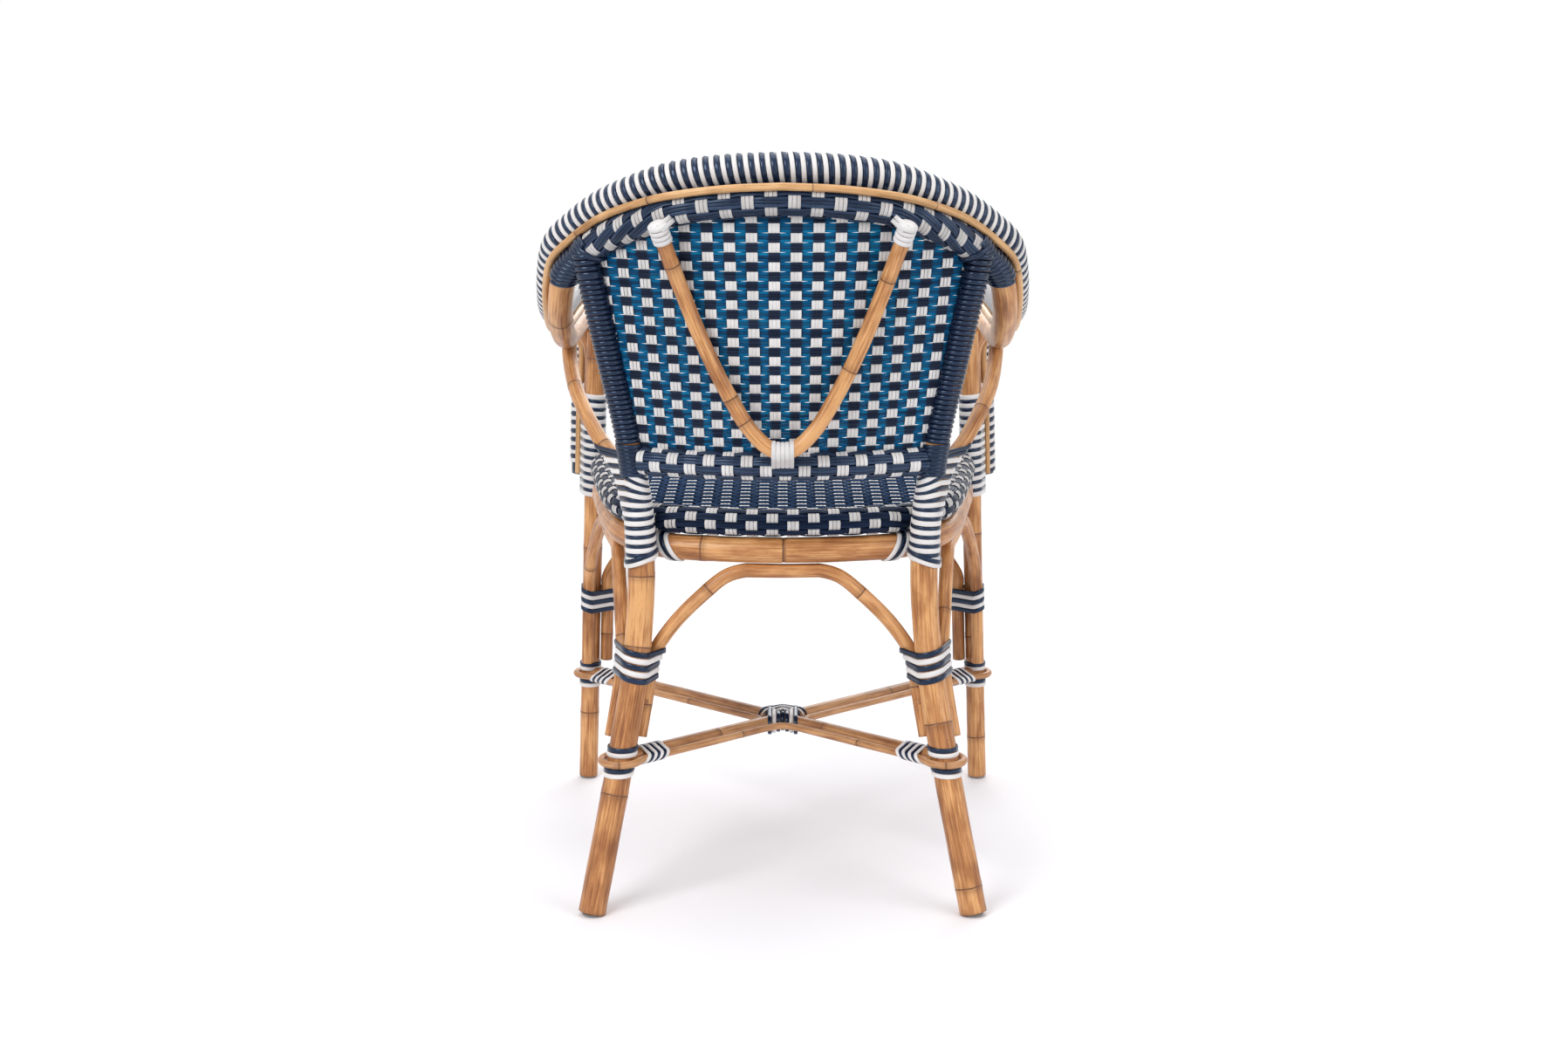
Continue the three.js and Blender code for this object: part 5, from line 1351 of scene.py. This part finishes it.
def centre_wrap():
    """Upright turns round both stretchers where they cross, and arched ones over them towards the front."""
    pieces = reed_pieces("centre_wrap")
    slope = abs((front_tie[1] - rear_tie[1]) / (front_tie[0] + rear_tie[0]))
    wide = STRETCHER_RADIUS * math.hypot(1, slope)
    pitch, count = 5.4, 40
    for i, colour in enumerate(("navy", "white", "navy", "navy", "navy", "white", "navy")):
        x = (i - 3) * pitch
        circles = [(cross_point[1] + side * x * slope, cross_point[2], STRETCHER_RADIUS + 0.6)
                   for side in (-1, 1)]
        circles += [(c[0] + e * (wide - STRETCHER_RADIUS), c[1], c[2]) for c in circles[:2] for e in (-1, 1)]
        loop, out = hull_loop(circles, count)
        points = np.column_stack([np.full(count, cross_point[0] + x), loop])
        ring_of(pieces[colour], (points, np.column_stack([np.zeros(count), out])), 5.2, 2.2)
    level = np.zeros(LOOP_POINTS)
    for colour, shift, half in (("white", 4, 17), ("navy", 9.5, 21), ("white", 14, 25), ("navy", 18.5, 29)):
        loop, out = hull_loop([(0, 1.5, 11.5), (half - 9.5, 0, 9.9), (9.5 - half, 0, 9.9)])
        points = np.column_stack([loop[:, 0], level - shift, loop[:, 1]]) + cross_point
        ring_of(pieces[colour], (points, np.column_stack([out[:, 0], level, out[:, 1]])), 4.6, 1.8)
    build_reeds(pieces, "centre_wrap")


centre_wrap()


def brace_wraps():
    """White turns at the foot, tied to the crossbar, and at the tops, tied to the weave over the bow."""
    foot = Piece("brace_wrap_foot_white")
    low = brace.at(0.5)
    loop, out = hull_loop([(low[1], low[2], BRACE_RADIUS + 0.5), (BAR_BACK, BAR_HEIGHT, BAR_RADIUS - 4)])
    level, pitch = np.zeros(LOOP_POINTS), 5.1
    for i in (-2, -1, 0, 1, 2):
        rise = brace.at(0.5 + i * pitch / brace.length)[2] - low[2]
        points = np.column_stack([level + i * pitch, loop[:, 0], loop[:, 1] + rise * (out[:, 1] > 0)])
        ring_of(foot, (points, np.column_stack([level, out])), 5.2, 1.8)
    foot.build(woven_white, "white_reed", ["brace_wrap_foot"])
    for side, sign in (("left", 1), ("right", -1)):
        top = Piece(f"brace_wrap_white_{side}")
        end = max(sign, 0)
        loops = [pole_loop(brace, end - sign * (2 + i * 5.8) / brace.length, BRACE_RADIUS) for i in range(4)]
        rings_of({"white": top}, loops, ("white",), 5.5, 1.9)
        tip, along = brace.at(end), brace.tangent(end) * sign
        turned(top, tip, along, [(9.4, -2), (9.8, 0.4), (8.6, 1.8), (5.0, 2.6), (1.2, 2.8)])
        for shift in (-2.6, 2.6):
            start = tip + vec((-3 + shift * 0.64) * sign, BRACE_RADIUS * 0.8, -4 + shift * 0.77)
            finish = start + vec(-13 * sign, -19, 10.5)
            path = np.array([start + (finish - start) * t + vec(0, 4.5 * math.sin(math.pi * t), 0)
                             for t in np.linspace(0, 1, 12)])
            reed(top, path, vec(0, 1, -0.1), 5.0, 1.5)
        top.build(woven_white, "white_reed", [f"brace_wrap_{side}"])


brace_wraps()


def rail_lashing(pieces):
    """Slanting turns of white reed with a navy one between them."""
    pitch, gap, tilt = 5.6, 13, 9
    wanted = post.at_height(RAIL_HEIGHT)[0] - wrap_reach(POST_RADIUS) - gap
    shares = np.linspace(0, 0.5, 1001)
    share = shares[np.argmax(rail.at(shares)[:, 0] >= wanted)]
    loops = [tilted(pole_loop(rail, share + i * pitch / rail.length, RAIL_RADIUS), tilt, UP)
             for i in (-1, 0, 1)]
    rings_of(pieces, loops, ("white", "navy"), 5.6, 2.0)


pair_of("rail_lashing", rail_lashing)


# Glides and plugs

def glide_pair(name, route):
    foot = route.at_height(GLIDE_HEIGHT)
    outline = [(10.2, 0), (11.0, 0.3), (11.5, 1.0), (11.5, 2.6), (11.0, 3.1), (9.5, 3.3)]
    for side in ("left", "right"):
        piece = Piece(f"{name}_{side}_form")
        turned(piece, vec(foot[0], foot[1], 0), UP, outline)
        piece.build(glide_plastic, "glide", [f"{name}_{side}"], mirror=side == "right")


glide_pair("rear_glide", post)
glide_pair("front_glide", leg)


def plugs():
    """Cane discs over the screws of the front legs and of the rear arch."""
    piece = Piece("cane_plugs")
    outline = [(3.8, -2), (3.8, 0.2), (3.2, 0.6), (1.0, 0.7)]
    back = vec(0, 1, 0)
    for route, radius, height in ((leg, LEG_RADIUS, 211), (rear_arch_leg, ARCH_RADIUS, 242)):
        place = route.at_height(height)
        for centre in (place, reflected(place)):
            turned(piece, centre + back * radius, back, outline, sides=18, tone=0.1)
    piece.build(thin_cane, "rattan", [])


plugs()


# Floor, light and camera

FLOOR_RADIUS, FLOOR_SIDES, FADE_START, FADE_END = 9, 96, 0.75, 2.2
PHOTO_WIDTH, CAMERA_BACK, CAMERA_HEIGHT, CAMERA_TILT = 1797, 2668.2, 0.990, 12.257


def mixed_shader(tree, factor, one, other, output):
    mix = new_node(tree, "MixShader")
    for socket, place in ((factor, "Fac"), (one, 1), (other, 2)):
        tree.links.new(socket, mix.inputs[place])
    tree.links.new(mix.outputs["Shader"], output.inputs["Surface"])


def floor():
    """A pale disc that thins out to the white backdrop far from the chair."""
    mesh = bpy.data.meshes.new("floor")
    angle = np.linspace(0, 2 * math.pi, FLOOR_SIDES, endpoint=False)
    mesh.from_pydata([(FLOOR_RADIUS * math.cos(a), FLOOR_RADIUS * math.sin(a), 0) for a in angle], [],
                     [list(range(FLOOR_SIDES))])
    obj = placed("floor", mesh)
    material, tree, shader = new_material("floor_paper")
    shader.inputs["Base Color"].default_value = (0.925, 0.918, 0.945, 1)
    shader.inputs["Roughness"].default_value = 0.7
    shader.inputs["Specular IOR Level"].default_value = 0.2
    distance, fade = new_node(tree, "VectorMath"), new_node(tree, "MapRange")
    distance.operation = "LENGTH"
    tree.links.new(new_node(tree, "TexCoord").outputs["Object"], distance.inputs[0])
    fade.inputs["From Min"].default_value = FADE_START
    fade.inputs["From Max"].default_value = FADE_END
    tree.links.new(distance.outputs["Value"], fade.inputs["Value"])
    mixed_shader(tree, fade.outputs["Result"], shader.outputs["BSDF"],
                 new_node(tree, "BsdfTransparent").outputs["BSDF"], tree.nodes["Material Output"])
    mesh.materials.append(material)


def softbox(name, place, target, size, power):
    lamp = bpy.data.lights.new(name, "AREA")
    lamp.shape, lamp.size, lamp.size_y, lamp.energy = "RECTANGLE", size[0], size[1], power
    obj = placed(name, lamp)
    obj.location = place
    obj.rotation_euler = (Vector(target) - Vector(place)).to_track_quat("-Z", "Y").to_euler()


def backdrop():
    """White to the camera and in reflections, a plain dim light to everything else."""
    world = bpy.data.worlds.new("backdrop")
    bpy.context.scene.world = world
    world.use_nodes = True
    tree = world.node_tree
    tree.nodes.clear()
    light, seen, path = [new_node(tree, kind) for kind in ("Background", "Background", "LightPath")]
    light.inputs["Color"].default_value = (0.95, 0.97, 1.0, 1)
    light.inputs["Strength"].default_value = 0.5
    seen.inputs["Color"].default_value = (1, 1, 1, 1)
    seen.inputs["Strength"].default_value = 1.0
    some = maths(tree, "MAXIMUM", path.outputs["Is Camera Ray"],
                 maths(tree, "MAXIMUM", path.outputs["Is Glossy Ray"], path.outputs["Is Transmission Ray"]))
    mixed_shader(tree, some, light.outputs["Background"], seen.outputs["Background"],
                 new_node(tree, "OutputWorld"))


def camera():
    data = bpy.data.cameras.new("camera")
    data.lens, data.sensor_width = 50, 36
    data.shift_x = 1.5 / PHOTO_WIDTH
    obj = placed("camera", data)
    obj.location = (0, (CAMERA_BACK + SHIFT) * MM, CAMERA_HEIGHT)
    obj.rotation_euler = (math.radians(90 - CAMERA_TILT), 0, math.pi)
    bpy.context.scene.camera = obj


floor()
softbox("key", (1.7, 2.2, 2.3), (0, 0.1, 0.5), (1.6, 1.6), 58)
softbox("fill", (-2.2, 1.6, 1.5), (0, 0, 0.5), (1.8, 1.8), 26)
softbox("top", (0, -0.3, 2.9), (0, 0, 0.4), (2.4, 2.4), 38)
softbox("front", (-0.6, -2.6, 1.8), (0, 0, 0.5), (2.2, 1.8), 34)
backdrop()
camera()
bpy.context.scene.view_settings.view_transform = "Standard"
